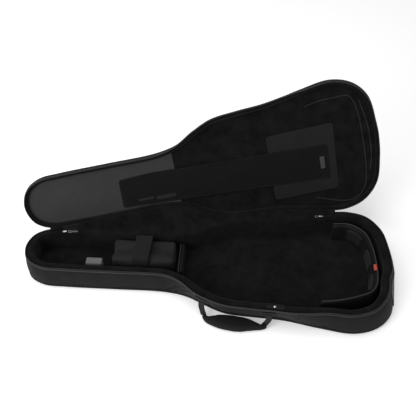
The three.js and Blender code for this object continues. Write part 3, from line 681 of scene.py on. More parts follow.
def back_cover():
    """The padded back, face down: its rounded edge rises from the floor to the wall's seam."""
    turn_up = [(-9.5, 0.0), (-5, 0.7), (-2.2, 2.6), (-0.5, 5.5), (0.3, 9.0), (-0.2, 12.5), (-1.2, 14)]
    rings = [on_base(ROUND, [pair])[:, 0] for pair in turn_up][::-1]
    rim = rings[-1]
    spine = spine_of(rim)
    for share in np.linspace(1, 0, 25)[1:]:
        ring = spine + (rim - spine) * share
        ring[:, 2] = back_relief(ring[:, 0], ring[:, 1])
        rings.append(ring)
    return stacked("back_cover", np.stack(rings), closed_top=False)

dress(back_cover(), "base", SHELL, ["back_panel"])

# %% [markdown]
# ## Piping, zip and stitches
# Piping is a cord in a bias strip, sewn into a seam, so it is a small round section carried along the
# seam. The zip is a strip of tape with a row of coil teeth along its free edge: one tooth is a box of
# six faces, and it is repeated at even steps along the tape by arithmetic on whole arrays. A stitch
# is a thin spindle of eight faces, repeated the same way.

# %% Round cords along a line
NEARLY_UP = [0.03, 0.02, 1.0]    # off the vertical, so that no cord ever runs exactly along it

def tube(name, line, radius, ring=False, sides=12):
    """A round section carried along a line, in the frame of its tangent and the upright."""
    if ring:
        t = np.roll(line, -1, 0) - np.roll(line, 1, 0)
    else:
        t = np.gradient(line, axis=0)
    t = unit(t)
    side = unit(np.cross(t, NEARLY_UP))
    up = np.cross(side, t)
    a = np.linspace(0, 2 * np.pi, sides, endpoint=False)[None, :, None]
    grid = line[:, None] + radius * (np.cos(a) * side[:, None] + np.sin(a) * up[:, None])
    return carried(name, grid, ring)

PIPING_R = 1.7
rim_line = on_base(ROUND, [(-1.2, RIM - 1.4)])[:, 0]
rim_line[:, 2] += ripple(rim_line, 0.5, 90, 41)
dress(tube("rim_piping_cord", rim_line, PIPING_R, True), "base", PIPING, ["rim_piping"])

# %% Zip tapes and their teeth
TOOTH_STEP, TOOTH = 2.4, (1.3, 2.6, 1.9)

def frames_along(line, up, pitch, ring=False):
    """Evenly spaced places on a line, each with its tangent, its side and its upright."""
    closed = np.vstack([line, line[:1]]) if ring else line
    length = np.linalg.norm(np.diff(closed, axis=0), axis=1).sum()
    both = np.hstack([line, np.broadcast_to(up, line.shape)])
    both = np.vstack([both, both[:1]]) if ring else both
    run = run_of(both[:, :3])
    at = (np.arange(int(length / pitch)) + 0.5) * pitch
    p = read_off(at, run, both)
    t = unit(read_off(at + 0.3, run, both[:, :3]) - read_off(at - 0.3, run, both[:, :3]))
    side = unit(np.cross(t, unit(p[:, 3:])))
    return p[:, :3], t, side, np.cross(side, t)

def repeated(name, shape, faces, places):
    """One small shape copied to every place: shape is points in the (tangent, side, up) axes."""
    p, t, side, up = places
    verts = (p[:, None] + shape[None, :, :1] * t[:, None] + shape[None, :, 1:2] * side[:, None]
             + shape[None, :, 2:] * up[:, None])
    every = np.asarray(faces)[None] + np.arange(len(p))[:, None, None] * len(shape)
    return new_piece(name, verts.reshape(-1, 3), every.reshape(-1, np.shape(faces)[1]).tolist(),
                     merge=0.001)

BOX = np.array([(x, y, z) for x in (-0.5, 0.5) for y in (-0.5, 0.5) for z in (-0.5, 0.5)])
BOX_FACES = [(0, 1, 3, 2), (4, 6, 7, 5), (0, 4, 5, 1), (2, 3, 7, 6), (0, 2, 6, 4), (1, 5, 7, 3)]
TAPERED = BOX * TOOTH * np.where(BOX[:, 2:] > 0, [0.62, 0.7, 1.0], [1.0, 1.0, 1.0])
SPINDLE = np.array([(-0.5, 0, 0), (0.5, 0, 0), (0, 1, 0), (0, 0, 1), (0, -1, 0), (0, 0, -1)])
SPINDLE_FACES = [(0, 3, 2), (0, 4, 3), (0, 5, 4), (0, 2, 5), (1, 2, 3), (1, 3, 4), (1, 4, 5), (1, 5, 2)]

def stitches(name, lines, pitch=3.6, long=2.7, thick=0.42):
    """Rows of stitches. Each line is (points, up, ring): up points out of the cloth."""
    shape = SPINDLE * (long, thick, thick)
    rows = [frames_along(line, up, pitch, ring) for line, up, ring in lines]
    return repeated(name, shape, SPINDLE_FACES, [np.vstack(part) for part in zip(*rows)])

def tape_section(low, high):
    """A thin tape standing on a rim, as (offset, height) corners."""
    return rounded([(-3.0, low), (-1.4, low), (-1.4, high), (-3.0, high)], 0.4, gap=1.5, arc=3)

ZIP = zip_places()
base_tape = on_base(ZIP, tape_section(78.2, 83.4))
dress(carried("base_zip_strip", base_tape), "base", TAPE, ["base_zip_tape"])
base_teeth_line = on_base(ZIP, [(-2.2, 83.2)])[:, 0]
dress(repeated("base_zip_teeth", TAPERED, BOX_FACES,
               frames_along(base_teeth_line, np.array([0, 0, 1.0]), TOOTH_STEP)),
      "base", COIL)

# %% [markdown]
# ## The lid
# The lid is a shallow tray: a padded back and a wall 26 mm deep. It is worked out shut, over the base,
# and then turned back about the hinge. Inside, the plush panel carries guards where strings and
# bridge would rub, and the seams of the outer pocket show through it, as a shallow groove and as
# raised ridges.

# %% Lid shell
LID_WALL_CORNERS = [(-0.4, 104.2), (1.0, 99), (0.4, 94.5), (-2.8, 90.6), (-7, 90.6), (-10, 93.5),
                    (-10, 104.2)]
lid_section = rounded(LID_WALL_CORNERS, [1, 3, 3, 3, 3, 2, 1], gap=2.6, arc=5)
lid_wall_grid = on_lid(ROUND, lid_section)
lid_wall_grid[..., 2] += ripple(lid_wall_grid, 0.5, 120, 51) * step(98, 91, lid_wall_grid[..., 2])
lid_wall = carried("lid_wall_sleeve", opened(lid_wall_grid), ring=True)
dress(lid_wall, "lid", SHELL, ["lid_gusset"])

def lid_back_relief(x, y):
    return flat_ripples(x, y, (1.0, 150, 52), (0.3, 40, 53))

lid_loop = on_lid(ROUND, [(0.6, 104.3)])[:, 0, :2]
lid_back = panel("lid_back_cover", lid_loop, 104.3, LID_TOP - 0.8, 10.5, 34, lid_back_relief,
                 spine=True, after=opened)
dress(lid_back, "lid", SHELL, ["lid_panel"])

# %% Lid plush, with the pocket's seam showing through
POCKET_SEAM = [(300, -138), (345, -147), (394, -148), (424, -149), (440, -138), (456, -88), (463, -3),
               (464, 78), (455, 142), (425, 176), (385, 178), (300, 150)]
LID_FACE = 101.5
OUTER_SEAM = [(462, -128), (478, -62), (484, -5), (482, 60), (474, 92)]
seam_line = evenly(smooth_line(POCKET_SEAM), 220)
outer_seam_line = evenly(smooth_line(OUTER_SEAM), 90)

def distance_to(x, y, line):
    """Distance from each point to the nearest of a line's points."""
    return np.sqrt(((np.stack([x, y], -1)[:, None] - line[None]) ** 2).sum(-1).min(axis=1))

def lid_plush_relief(x, y):
    """Ripples that die out under the guards and towards the head, and the seam's groove: a narrow
    bell curve down, with a wider and lower one up beside it."""
    away = distance_to(x, y, seam_line)
    groove = -0.8 * np.exp(-(away / 4.0) ** 2) + 0.5 * np.exp(-((away - 10) / 5.0) ** 2)
    under_guard = step(150, 180, x) * step(405, 375, x) * step(-100, -70, y) * step(150, 128, y)
    free = step(-115, -60, x) * (1 - 0.85 * under_guard)
    return flat_ripples(x, y, (1.2, 140, 61), (0.35, 45, 62)) * free + groove

plush_loop = on_lid(ROUND, [(-11.2, LID_FACE)])[:, 0, :2]
lid_plush = panel("lid_plush_panel", plush_loop, 104.0, LID_FACE, 1.5, 64, lid_plush_relief,
                  spine=True, after=opened)
dress(lid_plush, "lid", PLUSH, ["lid_lining"])

# The ridges are dressed in the lighter ridge pile, a painted highlight along their tops.
for name, line in (("pocket_seam_ridge", seam_line), ("pocket_outer_ridge", outer_seam_line)):
    height = LID_FACE - lid_plush_relief(line[:, 0], line[:, 1]) - 0.5
    ridge = tube(name, opened(at_height(line, height)), 1.6)
    dress(ridge, "lid", RIDGE_HIGHLIGHT_PILE)

LID_ROLL = [(-10.3, 103.8), (-10.3, 94), (-6.4, 90.4), (-5.4, 89.7), (-6.6, 89.3), (-11.4, 92.4),
            (-12.2, 103.8)]
roll_grid = on_lid(ROUND, rounded(LID_ROLL, [0.5, 2, 0.5, 0.5, 2, 3, 0.5], gap=3, arc=4))
dress(carried("lid_plush_roll", opened(roll_grid), ring=True), "lid", PLUSH,
      ["lid_lining"])

# %% Lid piping and zip
lid_cord = on_lid(ROUND, [(-0.9, LID_EDGE + 1.5)])[:, 0]
dress(tube("lid_piping_cord", opened(lid_cord), PIPING_R, True), "lid", PIPING,
      ["lid_piping"])
lid_tape_grid = on_lid(ZIP, tape_section(90.4, 85.4))
dress(carried("lid_zip_strip", opened(lid_tape_grid)), "lid", TAPE, ["lid_zip_tape"])
tooth_line = opened(on_lid(ZIP, [(-2.2, 85.5)])[:, 0])
lid_down = opened(HINGE + np.array([0, 0, -1.0])) - HINGE
dress(repeated("lid_zip_teeth", TAPERED, BOX_FACES, frames_along(tooth_line, lid_down, TOOTH_STEP)),
      "lid", COIL)

# %% Guards, label and hook strips inside the lid
def cut_loop(corners, radius, count=200):
    """A seam line with rounded corners, with its points evenly spaced."""
    return evenly(rounded(corners, radius, gap=4, arc=7), count, closed=True)

def guard_relief(seed, depth):
    """Long ripples of the given depth, with short ones of three tenths of it."""
    return lambda x, y: flat_ripples(x, y, (depth, 90, seed), (depth * 0.3, 28, seed + 1))

SCUFF_END = -105.0
STRING_GUARD = [(-277, -26), (-180, -31), (353, -13), (353, 94), (-280, 62)]
BRIDGE_GUARD = [(175, -70), (378, -76), (374, 131), (177, 133)]
LABEL_EDGE = [(326, 22), (340, 22), (340, 60), (326, 60)]
HOOK_STRIPS = {"guard_hook_strip_head": [(-232, 43), (-184, 43), (-184, 51), (-232, 51)],
               "guard_hook_strip_tail": [(-176, 45), (-118, 45), (-118, 56), (-176, 56)]}

inner_edge = on_lid(ROUND, [(-11.4, LID_FACE)])[:, 0, :2]
scuff_edge = inner_edge[inner_edge[:, 0] < SCUFF_END]
order = np.argsort(np.arctan2(scuff_edge[:, 1], scuff_edge[:, 0] + 330))
scuff_loop = evenly(scuff_edge[order], 320, closed=True)
scuff = panel("scuff_cloth", scuff_loop, 101.3, 100.3, 0.8, 26, guard_relief(71, 0.6), after=opened)
dress(scuff, "lid", SMOOTH, ["scuff_panel"])
bridge = panel("bridge_guard_cloth", cut_loop(BRIDGE_GUARD, 10), 101.2, 100.0, 0.8, 26,
               guard_relief(73, 0.5), after=opened)
dress(bridge, "lid", WEAR, ["bridge_guard"])
string = panel("string_guard_cloth", cut_loop(STRING_GUARD, 8, 300), 99.9, 98.4, 0.8, 20,
               guard_relief(75, 0.7), after=opened)
dress(string, "lid", GUARD, ["string_guard"])
label = panel("blank_woven_label", cut_loop(LABEL_EDGE, 2, 60), 98.6, 97.7, 0.4, 8, None, after=opened)
dress(label, "lid", LABEL, ["blank_label"])
for name, edge in HOOK_STRIPS.items():
    strip = panel(name.replace("guard_hook", "hook"), cut_loop(edge, 2, 60), 98.6, 97.7, 0.4, 8, None,
                  after=opened)
    dress(strip, "lid", HOOK, [name])

def lid_row(loop, by, z):
    """A row of stitches on the lid's inside, parallel to a seam line."""
    return opened(at_height(inset(loop, by), z)), lid_down, True

lid_rows = [lid_row(cut_loop(BRIDGE_GUARD, 10), 3.0, 99.9),
            lid_row(cut_loop(STRING_GUARD, 8, 300), 3.0, 98.3),
            lid_row(cut_loop(LABEL_EDGE, 2, 60), 1.2, 97.6), lid_row(scuff_loop, 3.0, 100.2)]
lid_rows += [lid_row(cut_loop(edge, 2, 60), 1.4, 97.6) for edge in HOOK_STRIPS.values()]
dress(stitches("lid_inside_stitching", lid_rows), "lid", THREAD)

# %% Pocket on the lid's outside
POCKET = [(96, -92), (96, 92), (120, 118), (200, 124), (290, 143), (370, 158), (425, 140), (455, 95),
          (464, 30), (464, -30), (455, -95), (425, -140), (370, -158), (290, -143), (200, -124),
          (120, -118)]
lid_up = -lid_down
pocket_loop = evenly(smooth_line(POCKET, closed=True), 320, closed=True)
pocket = panel("pocket_cloth", pocket_loop, 115.6, 122.4, 5.0, 30, guard_relief(81, 1.0), after=opened)
dress(pocket, "lid", SHELL, ["lid_pocket"])
pocket_stitch = opened(at_height(inset(pocket_loop, 9.0), 122.5))
dress(stitches("pocket_stitching", [(pocket_stitch, lid_up, True)]), "lid", THREAD)
pocket_zip = cut_loop([(112, -86), (124, -86), (124, 86), (112, 86)], 1.5, 160)
zip_strip = panel("pocket_zip_strip", pocket_zip, 121.6, 124.2, 0.5, 8, None, after=opened)
dress(zip_strip, "lid", TAPE, ["pocket_zip_tape"])
coil_line = opened(at_height(np.column_stack([np.full(120, 118.0), np.linspace(-84, 60, 120)]), 124.6))
dress(repeated("pocket_zip_teeth", TAPERED * (1, 1.3, 0.8), BOX_FACES,
               frames_along(coil_line, lid_up, TOOTH_STEP)), "lid", COIL)

# %% [markdown]
# ## The fabric that is the hinge
# Along its hinge side the lid hangs on the lining itself: a plush web that comes up out of the tray,
# over the wall's rim and on to the lid's edge. The hinge line is straight and the outline isn't, so
# the web is wide beside the neck and narrow beside the waist. It is made as four pieces: one beside
# the neck, one beside the waist, and the narrow strips past its two ends.

# %% Hinge web
WEB_THICK = 1.8
WEB_FOOT = [(1.2, 46), (-0.2, 56), (-2.4, 66), (-1.6, 77.5), (4, 82.0)]
END_FOOT = [(-7.4, 78.6), (-6.6, 80.6)]

def web_line(s, at_end):
    """Across the web at each place: up the plush, over the rim, and by a slack curve to the lid. Past
    either end of the hinge it is only a narrow strip inside the zip, standing on the rim."""
    count = len(s)
    def pair(out, z):
        return np.stack([np.broadcast_to(out, count), np.full(count, z)], -1)[:, None]
    if at_end:
        foot = [on_base(s, pair(out, z))[:, 0] for out, z in END_FOOT]
    else:
        foot = [on_base(s, pair(out - wall_thick(s), z))[:, 0] for out, z in WEB_FOOT]
    shift = 2.0 if at_end else 0.0
    rim = on_base(s, pair(-4.0 - shift, 82.5))[:, 0]
    near_edge = opened(on_lid(s, pair(-3.0 - shift, LID_EDGE - 4.0))[:, 0])
    edge = opened(on_lid(s, pair(-1.6 - shift, LID_EDGE + 0.4))[:, 0])
    reach = np.linalg.norm(near_edge - rim, axis=1)
    sag = np.array([0, 0.554, -0.832]) * (reach * 0.05)[:, None]
    knots = foot + [rim, (2 * rim + near_edge) / 3 + sag, (rim + 2 * near_edge) / 3 + sag, near_edge,
                    edge]
    return np.stack([evenly(smooth_line(np.stack(k), per_span=8), 44) for k in zip(*knots)])

def hinge_web(name, x0, x1, count, at_end=False):
    s = side_places(x0, x1, 1, count)
    middle = web_line(s, at_end)
    n = facing(middle, False, False)
    middle = middle + n * (ripple(middle, 0.8, 80, 91) + ripple(middle, 0.3, 30, 92))[..., None]
    both = np.concatenate([middle + n * WEB_THICK / 2, (middle - n * WEB_THICK / 2)[:, ::-1]], axis=1)
    web = carried(name, both)
    dress(web, None, PLUSH, ["hinge_gusset"])
    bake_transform(web)

WEB_SPLIT = 15.0
hinge_web("hinge_web_neck", -416.0, WEB_SPLIT, 150)
hinge_web("hinge_web_waist", WEB_SPLIT, 284.0, 100)
hinge_web("hinge_web_head_end", -508.0, -408.0, 50, at_end=True)
hinge_web("hinge_web_tail_end", 276.0, 350.0, 38, at_end=True)

# %% [markdown]
# ## Foam pads
# The neck rest, the divider, the little headstock pad and the handle's grip are foam in a sewn cover.
# Foam in cloth has no flat faces: it swells between its seams. Each starts a little too small, is
# re-meshed evenly, and is blown up as cloth for twenty frames, with a cap on how far any point may
# move; only the divider's piping is laid on afterwards.

# %% Inflating a cover
def baked_mesh(piece):
    """The piece's mesh with its modifiers applied."""
    graph = bpy.context.evaluated_depsgraph_get()
    mesh = bpy.data.meshes.new_from_object(piece.evaluated_get(graph))
    piece.modifiers.clear()
    old, piece.data = piece.data, mesh
    bpy.data.meshes.remove(old)
    return piece

def points_of(mesh):
    co = np.empty(len(mesh.vertices) * 3, np.float32)
    mesh.vertices.foreach_get("co", co)
    return co.reshape(-1, 3).astype(float)

def inflated(piece, voxel, cap, keep_low, pressure=4.0, frames=20):
    """Voxel remesh, then cloth with inner pressure and no gravity. No point moves further than cap
    millimetres, and none sinks below keep_low."""
    remesh = piece.modifiers.new("even", "REMESH")
    remesh.mode = "VOXEL"
    remesh.voxel_size = voxel * MM
    baked_mesh(piece)
    start = points_of(piece.data)
    cloth_modifier = piece.modifiers.new("cover", "CLOTH")
    settings = cloth_modifier.settings
    settings.use_pressure = True
    settings.uniform_pressure_force = pressure
    settings.effector_weights.gravity = 0.0
    for frame_number in range(1, frames + 1):
        bpy.context.scene.frame_set(frame_number)
    graph = bpy.context.evaluated_depsgraph_get()
    swollen = points_of(piece.evaluated_get(graph).to_mesh())
    piece.modifiers.clear()
    bpy.context.scene.frame_set(1)
    move = swollen - start
    far = np.linalg.norm(move, axis=1, keepdims=True)
    start = start + move * np.minimum(1, cap * MM / np.maximum(far, 1e-9))
    start[:, 2] = np.maximum(start[:, 2], keep_low * MM)
    piece.data.vertices.foreach_set("co", start.astype(np.float32).ravel())
    finer = piece.modifiers.new("finer", "SUBSURF")
    finer.levels = finer.render_levels = 1
    baked_mesh(piece)
    piece.data.polygons.foreach_set("use_smooth", np.ones(len(piece.data.polygons), bool))
    return piece

INNER_FLOOR = 17.3

def block_between(name, low, high, soft):
    """A rounded box: its plan is a rounded rectangle, and its rings draw in at the foot and the top
    by a quarter circle."""
    x0, y0, z0 = low
    x1, y1, z1 = high
    loop = evenly(rounded([(x0, y0), (x1, y0), (x1, y1), (x0, y1)], soft, gap=3, arc=7), 120, True)
    rings = []
    for a in np.linspace(0, math.pi / 2, 5):
        rings.append((soft * 0.5 * (1 - math.sin(a)), z0 + soft * 0.5 * (1 - math.cos(a))))
    rings.append((0, (z0 + z1) / 2))
    for a in np.linspace(math.pi / 2, 0, 5):
        rings.append((soft * 0.7 * (1 - math.sin(a)), z1 - soft * 0.7 * (1 - math.cos(a))))
    return stacked(name, np.stack([at_height(inset(loop, by), z) for by, z in rings]))

# %% Neck rest
def neck_rest():
    """The saddle's outline in the upright plane, carried along the neck, drawn in at both ends."""
    y0, y1, top = -27.5, 55.5, 75.5
    corners = [(y0, 18.5), (y1, 18.5), (y1, top), (40, top), (15, 56), (-9, top), (y0, top)]
    outline_yz = rounded(corners, [5, 5, 9, 7, 16, 7, 9], gap=5, arc=6)
    middle = np.array([14.0, 46.0])
    x0, x1, soft = -309.0, -127.0, 7.0
    steps = np.concatenate([soft * (1 - np.cos(np.linspace(0, math.pi / 2, 5))),
                            np.linspace(soft, x1 - x0 - soft, 26)[1:-1],
                            (x1 - x0) - soft * (1 - np.cos(np.linspace(math.pi / 2, 0, 5)))])
    nearest = np.minimum(steps, x1 - x0 - steps)
    shrink = 1 - 0.16 * (1 - np.sqrt(1 - (1 - np.clip(nearest / soft, 0, 1)) ** 2))
    sections = [np.column_stack([np.full(len(outline_yz), x0 + at),
                                 middle + (outline_yz - middle) * k]) for at, k in zip(steps, shrink)]
    return carried("neck_rest_pad", np.stack(sections))

rest_pad = inflated(neck_rest(), 5.0, 4.0, keep_low=INNER_FLOOR)
dress(rest_pad, "base", PAD, ["neck_block"])

# %% Headstock pad and divider
tab = inflated(block_between("headstock_rest_pad", (-389, -23, 18.5), (-341, 3, 47), 3.5), 3.0, 1.2,
               keep_low=INNER_FLOOR)
dress(tab, "base", TAB, ["headstock_pad"])

divider = inflated(block_between("divider_pad", (-112, -50, 18.5), (-100, 62, 58), 5), 4.0, 2.5,
                   keep_low=INNER_FLOOR)
dress(divider, "base", BLACK_WITH_PAINTED_SHADE, ["neck_divider"])
binding_line = smooth_line([(-113, -51, 24), (-113, -51.5, 50), (-113, -46, 58.5), (-113, -30, 60.5),
                            (-113, 40, 60.5), (-113, 58, 58.5), (-113, 63.5, 50), (-113, 63, 24)])
dress(tube("divider_piping_cord", binding_line, 1.2), "base", PIPING)

# %% Neck strap and its sewn end
STRAP_X = (-243.0, -195.0)

def ribbon(name, line, width_way, width, thick):
    """Flat webbing along a line, with rounded edges; width_way is the direction of its width."""
    wide = np.broadcast_to(width_way, line.shape) / np.linalg.norm(width_way)
    thin = unit(np.cross(wide, unit(np.gradient(line, axis=0))))
    w, h = width / 2, thick / 2
    edge = rounded([(-w, -h), (w, -h), (w, h), (-w, h)], min(1.1, h * 0.9), gap=4, arc=4)
    grid = line[:, None] + edge[None, :, :1] * wide[:, None] + edge[None, :, 1:] * thin[:, None]
    return carried(name, grid), wide, thin

strap_yz = [(59.6, 80.6), (58.4, 86.6), (52, 92.4), (40, 92.2), (20, 91.6), (-4, 91.8), (-20, 89),
            (-30.5, 81.5), (-32.8, 72), (-33, 54)]
strap_mid = sum(STRAP_X) / 2
strap_line = evenly(smooth_line([(strap_mid, y, z) for y, z in strap_yz]), 70)
strap_line[:, 2] += 0.5 * np.sin(np.linspace(0, 9, 70)) * step(0, 20, np.arange(70))
strap_line[:, 0] -= 6.0 * step(5, 69, np.arange(70))
strap, _, strap_thin = ribbon("neck_strap_web", strap_line, (1, 0, 0), 48.0, 2.3)
dress(strap, "neck_strap", STRAP, ["neck_strap"])
if strap_thin[35, 2] < 0:
    strap_thin = -strap_thin
hem = [(strap_line[2:-2] + [side, 0, 0] + strap_thin[2:-2] * 1.25, strap_thin[2:-2], False)
       for side in (-21.5, 21.5)]
ends = [(np.linspace(strap_line[k] + [-21, 0, 0], strap_line[k] + [21, 0, 0], 30)
         + strap_thin[k] * 1.25, np.broadcast_to(strap_thin[k], (30, 3)), False) for k in (-4, -9)]
dress(stitches("neck_strap_stitching", hem + ends), "neck_strap", THREAD)
sewn_line = np.column_stack([np.full(20, strap_mid), np.full(20, 59.9), np.linspace(39, 77, 20)])
sewn, _, _ = ribbon("strap_sewn_end", sewn_line, (1, 0, 0), 48.0, 2.3)
dress(sewn, "base", STRAP, ["strap_anchor"])

# %% [markdown]
# ## Tail bumper
# A thick foam band in smooth cloth stands inside the tail, so that the guitar's end never touches the
# wall. Its top edge is piped, and two pads on its inner face meet the guitar's rim, with a bare notch
# between them for the strap button.

# %% Bumper, its piping and pads
BUMPER_PATH = [(340, 158), (385, 160), (415, 147), (440, 120), (454, 72), (460, 15), (460, -38),
               (454, -78), (437, -107), (405, -124), (370, -137), (330, -147), (290, -152)]
BUMPER_TOP = 73.0
bumper_line = evenly(smooth_line(BUMPER_PATH), 181)

def along_bumper(u0, u1, pairs, count):
    """Sections (distance inwards as a negative offset, height) on a share of the bumper's length."""
    run = np.linspace(0, 1, len(bumper_line))
    u = np.linspace(u0, u1, count)
    t = unit(read_off(u + 0.004, run, bumper_line) - read_off(u - 0.004, run, bumper_line))
    pairs = np.broadcast_to(pairs, (count,) + np.shape(pairs)[-2:])
    inwards = np.column_stack([-t[:, 1], t[:, 0]])[:, None]
    xy = read_off(u, run, bumper_line)[:, None] + inwards * pairs[..., :1]
    return np.concatenate([xy, pairs[..., 1:]], axis=-1)

def swollen_band(name, u0, u1, corners, radii, count, crown, seed):
    """A padded band: its section shrinks to a rounded end over its last few places, and swells by
    crown in the middle of its length."""
    pairs = rounded(corners, radii, gap=3, arc=5)
    middle = pairs.mean(axis=0)
    u = np.linspace(0, 1, count)
    near_end = np.clip(np.minimum(u, 1 - u) * count / 4.0, 0, 1)
    size = 0.72 + 0.28 * np.sqrt(1 - (1 - near_end) ** 2)
    size = size * (1 + crown * np.sin(np.pi * u))
    every = middle + (pairs[None] - middle) * size[:, None, None]
    grid = along_bumper(u0, u1, every, count)
    grid = grid + facing(grid, False, True) * ripple(grid, 0.5, 45, seed)[..., None]
    return carried(name, grid)

# The bumper's near-black is partly its own black cloth and partly painted shade, for the shade inside
# the tail.
bumper = swollen_band("bumper_foam", 0, 1, [(0, 17.3), (0.5, 46), (-0.5, 71), (-5, 73), (-12, 70.5),
                      (-17.5, 44), (-20, 17.3)], [1, 9, 4, 2, 5, 10, 1], 150, 0.0, 101)
dress(bumper, "base", BLACK_WITH_PAINTED_SHADE, ["tail_bumper"])
cord_line = along_bumper(0.003, 0.997, [(-4, BUMPER_TOP + 1.6)], 160)[:, 0]
dress(tube("bumper_piping_cord", cord_line, 1.8), "base", PIPING, ["bumper_piping"])
PAD_CORNERS = [(-13.2, 64), (-18.6, 26), (-25, 28), (-20.5, 63)]
for name, u0, u1, seed in (("tail_pad_hinge_side", 0.33, 0.45, 103),
                           ("tail_pad_handle_side", 0.525, 0.66, 105)):
    pad = swollen_band(name.replace("tail_pad", "button_pad"), u0, u1, PAD_CORNERS, 4, 40, 0.03, seed)
    dress(pad, "base", PAD, [name])
strip = swollen_band("corner_cloth", 0.1, 0.24, PAD_CORNERS, 3, 40, 0.0, 107)
dress(strip, "base", WEAR, ["corner_strip"])
TAG_CORNERS = [(-5.4, 75.6), (-6.2, 74.6), (-12.6, 72.0), (-13.4, 72.9)]
tag = carried("blank_red_tag", along_bumper(0.475, 0.52, rounded(TAG_CORNERS, 0.4, gap=2, arc=3), 16))
dress(tag, "base", RED, ["red_tag"])

# %% Patch and rivet on the rim
def near_band(x0, x1, corners, radii, count, arc=4):
    """A patch on the handle side's wall or rim; its corners are (offset from the outline, height)."""
    return on_base(side_places(x0, x1, -1, count), rounded(corners, radii, gap=3, arc=arc))

PATCH_CORNERS = [(-9, 80.3), (-9, 81.8), (-22, 82.4), (-29.6, 76), (-30.4, 56), (-29.2, 56),
                 (-28.2, 75), (-21.4, 80.9)]
PATCH_RADII = [0.5, 0.6, 5, 6, 0.5, 0.5, 5, 5]
patch = carried("backing_patch", near_band(140, 192, PATCH_CORNERS, PATCH_RADII, 40, arc=6))
dress(patch, "base", WEAR, ["handle_backing_patch"])

def rounded_lump(middle, axes, radii, square=2.6, count=(28, 17)):
    """A superellipsoid: an ellipsoid whose circles are flattened towards squares by the power
    2 / square, in its own three axes."""
    def power(v):
        return np.sign(v) * np.abs(v) ** (2 / square)
    a = np.linspace(0, 2 * np.pi, count[0], endpoint=False)[:, None]
    b = np.linspace(-np.pi / 2, np.pi / 2, count[1])[None, :]
    shape = np.stack([power(np.cos(a)) * power(np.cos(b)), power(np.sin(a)) * power(np.cos(b)),
                      power(np.sin(b)) * np.ones_like(a)], axis=-1) * radii
    return np.asarray(middle) + shape @ np.asarray(axes, float)

def lump_piece(name, grids):
    """Several closed grids as one piece."""
    verts, faces, start = [], [], 0
    for grid in grids:
        faces.append(grid_faces(*grid.shape[:2], True, False, start))
        verts.append(grid.reshape(-1, 3))
        start += grid.shape[0] * grid.shape[1]
    return new_piece(name, np.vstack(verts), np.vstack(faces).tolist(), merge=0.005)

low, high = (np.array(c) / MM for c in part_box("backing_rivet"))
middle = (low + high) / 2 + [0, 0, 1.0]
# a flat cap and the button on it: how far up each one is, and its half sizes
RIVET_PARTS = ((0, (4.0, 4.0, 1.5)), (1.4, (1.6, 1.6, 0.7)))
rivet = lump_piece("rivet_head", [rounded_lump(middle + [0, 0, up], np.eye(3), radii, 2.0)
                                  for up, radii in RIVET_PARTS])
dress(rivet, "base", NICKEL, ["backing_rivet"])

# %% [markdown]
# ## Carry handle
# Two short lengths of webbing are stitched to patches on the handle-side wall and meet a padded grip.
# Left alone, the handle lies out on the floor, as here. Its hinge is the line through the tops of the
# two webs.

# %% Handle
GRIP = [(-40, -166), (-20, -166), (14, -159), (60, -161.5), (98, -169.5), (130, -186), (148, -192),
        (144, -202), (98, -212), (65, -216), (30, -212), (0, -203), (-30, -186)]
grip_loop = evenly(smooth_line(GRIP, closed=True), 160, closed=True)
GRIP_STEPS = ((6, 2.4), (3.2, 3.2), (1.6, 6), (1.2, 10), (1.6, 13.5), (3.4, 16.6), (6, 17.8))
grip_rings = [at_height(inset(grip_loop, by), z) for by, z in GRIP_STEPS]
grip = inflated(stacked("grip_pad", np.stack(grip_rings)), 4.0, 2.2, keep_low=0.3)
dress(grip, "carry_handle", SHELL, ["handle_grip"])

def handle_top(x, out):
    return on_base(side_places(x, x + 1, -1, 2)[:1], [(out, 50)])[0, 0]

BOX_AND_CROSS = ([(-14, 36), (14, 36), (14, 64), (-14, 64), (-14, 36)],
                 [(-14, 36), (14, 64)], [(-14, 64), (14, 36)])
handle_rows, anchor_rows = [], []
for place, x, out, end in (("head", -27, 10, (-32, -163.5, 10)), ("tail", 150, 7, (138, -188, 10))):
    top, end = handle_top(x, out), np.array(end, float)
    way = handle_top(150, 7) - handle_top(-27, 10)
    knots = [top, top + [0, -1.5, -16], top + (end - top) * 0.75 + [0, -1, -3], end]
    line = evenly(smooth_line(knots), 40)
    web, wide, thin = ribbon(f"handle_web_{place}", line, way, 17.0, 2.3)
    dress(web, "carry_handle", WEBBING, [f"handle_strap_{place}"])
    thin = thin if thin[20, 1] < 0 else -thin
    handle_rows += [(line + wide * side + thin * 1.2, thin, False) for side in (-6.4, 6.4)]
    corners = [(1.0, 34), (2.9, 34), (2.9, 66), (1.0, 66)]
    anchor = carried(f"handle_patch_{place}", near_band(x - 17, x + 17, corners, 0.7, 20))
    dress(anchor, "base", SHELL, [f"handle_anchor_{place}"])
    for corner_list in BOX_AND_CROSS:
        path = evenly(np.array(corner_list, float), 60)
        s = side_places(x - 15, x + 15, -1, 31)
        pick = np.clip(np.round(path[:, 0] + 15).astype(int), 0, 30)
        row = on_base(s[pick], np.stack([np.full(60, 3.0), path[:, 1]], -1)[:, None])[:, 0]
        up = np.column_stack([s[pick][:, 2:], np.zeros(60)])
        anchor_rows.append((row, up, False))
dress(stitches("handle_web_stitching", handle_rows), "carry_handle", THREAD)
dress(stitches("handle_patch_stitching", anchor_rows), "base", THREAD)

# %% Tail skid
tail = ROUND[(ROUND[:, 0] > 0) & (np.abs(ROUND[:, 1]) < 107)]
SKID_CORNERS = [(0.2, 15), (3.2, 19), (3.4, 66), (0.2, 70)]
skid_grid = on_base(tail, rounded(SKID_CORNERS, [1, 2, 2, 1], gap=3, arc=4))
skid_grid[..., :2] += tail[:, None, 2:] * np.abs(ripple(skid_grid, 0.4, 50, 111))[..., None]
dress(carried("tail_skid_cloth", skid_grid), "base", SMOOTH, ["tail_skid"])

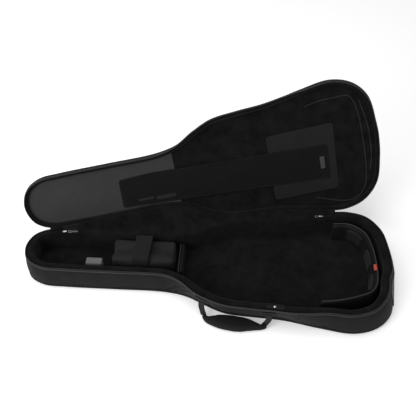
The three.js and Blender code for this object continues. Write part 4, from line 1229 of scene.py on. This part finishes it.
# %% [markdown]
# ## Zip sliders
# A slider is two small plates joined by a post, with an arch that holds the pull. Its place and its
# directions are read from the joints: it runs along its slide, and its pull turns on its pin.

# %% Sliders and pulls
def slider_axes(name):
    """The slider's forward direction, its side, its upright and the pin's place in millimetres."""
    forward = np.array(joints[f"{name}_slide"]["axis"])
    side = np.array(joints[f"{name}_pull_hinge"]["axis"])
    up = np.cross(forward, side)
    return forward, side, up, np.array(joints[f"{name}_pull_hinge"]["pos_m"]) / MM

def slider_set(name):
    x, y, z, pin = slider_axes(name)
    base = pin + x * 2.2 - z * 1.75
    axes = [x, y, z]
    def at(dx, dy, dz):
        return base + x * dx + y * dy + z * dz
    lumps = [rounded_lump(at(7.6, 0, 1.1), axes, (7.4, 3.9, 0.95), 3.2),
             rounded_lump(at(7.6, 0, 3.6), axes, (7.0, 3.7, 0.85), 3.2),
             rounded_lump(at(10.5, 0, 2.4), axes, (2.2, 1.3, 1.6), 2.4),
             rounded_lump(at(6.2, 0, 4.6), axes, (4.6, 1.0, 0.7), 2.4)]
    body = lump_piece(f"{name}_slider_body", lumps)
    dress(body, f"{name}_slider", NICKEL, [f"{name}_slider"])
    loop = rounded([(0.9, -2.6), (0.9, 2.6), (-9.5, 3.4), (-9.5, -3.4)], 2.2, gap=1.5, arc=6)
    ring_line = np.array([pin + x * (px - 1.3) + y * py for px, py in loop])
    ring = tube(f"{name}_pull_ring", ring_line, 0.62, True, 10)
    dress(ring, f"{name}_pull", NICKEL, [f"{name}_pull"])
    lumps = [rounded_lump(at(-21.0, 0, 1.8), axes, (10.6, 3.7, 0.95), 4.0, (36, 21)),
             rounded_lump(at(-12.2, 0, 1.8), axes, (1.6, 3.9, 1.25), 3.0)]
    dress(lump_piece(f"{name}_pull_cloth", lumps), f"{name}_pull", PULL, [f"{name}_pull"])

for name in ("zip_head", "zip_tail", "pocket"):
    slider_set(name)

# %% Close the books
shown_plain = [n for n, o in frame["nodes"].items() if not o.hide_render]
print("plain nodes still shown:", shown_plain)
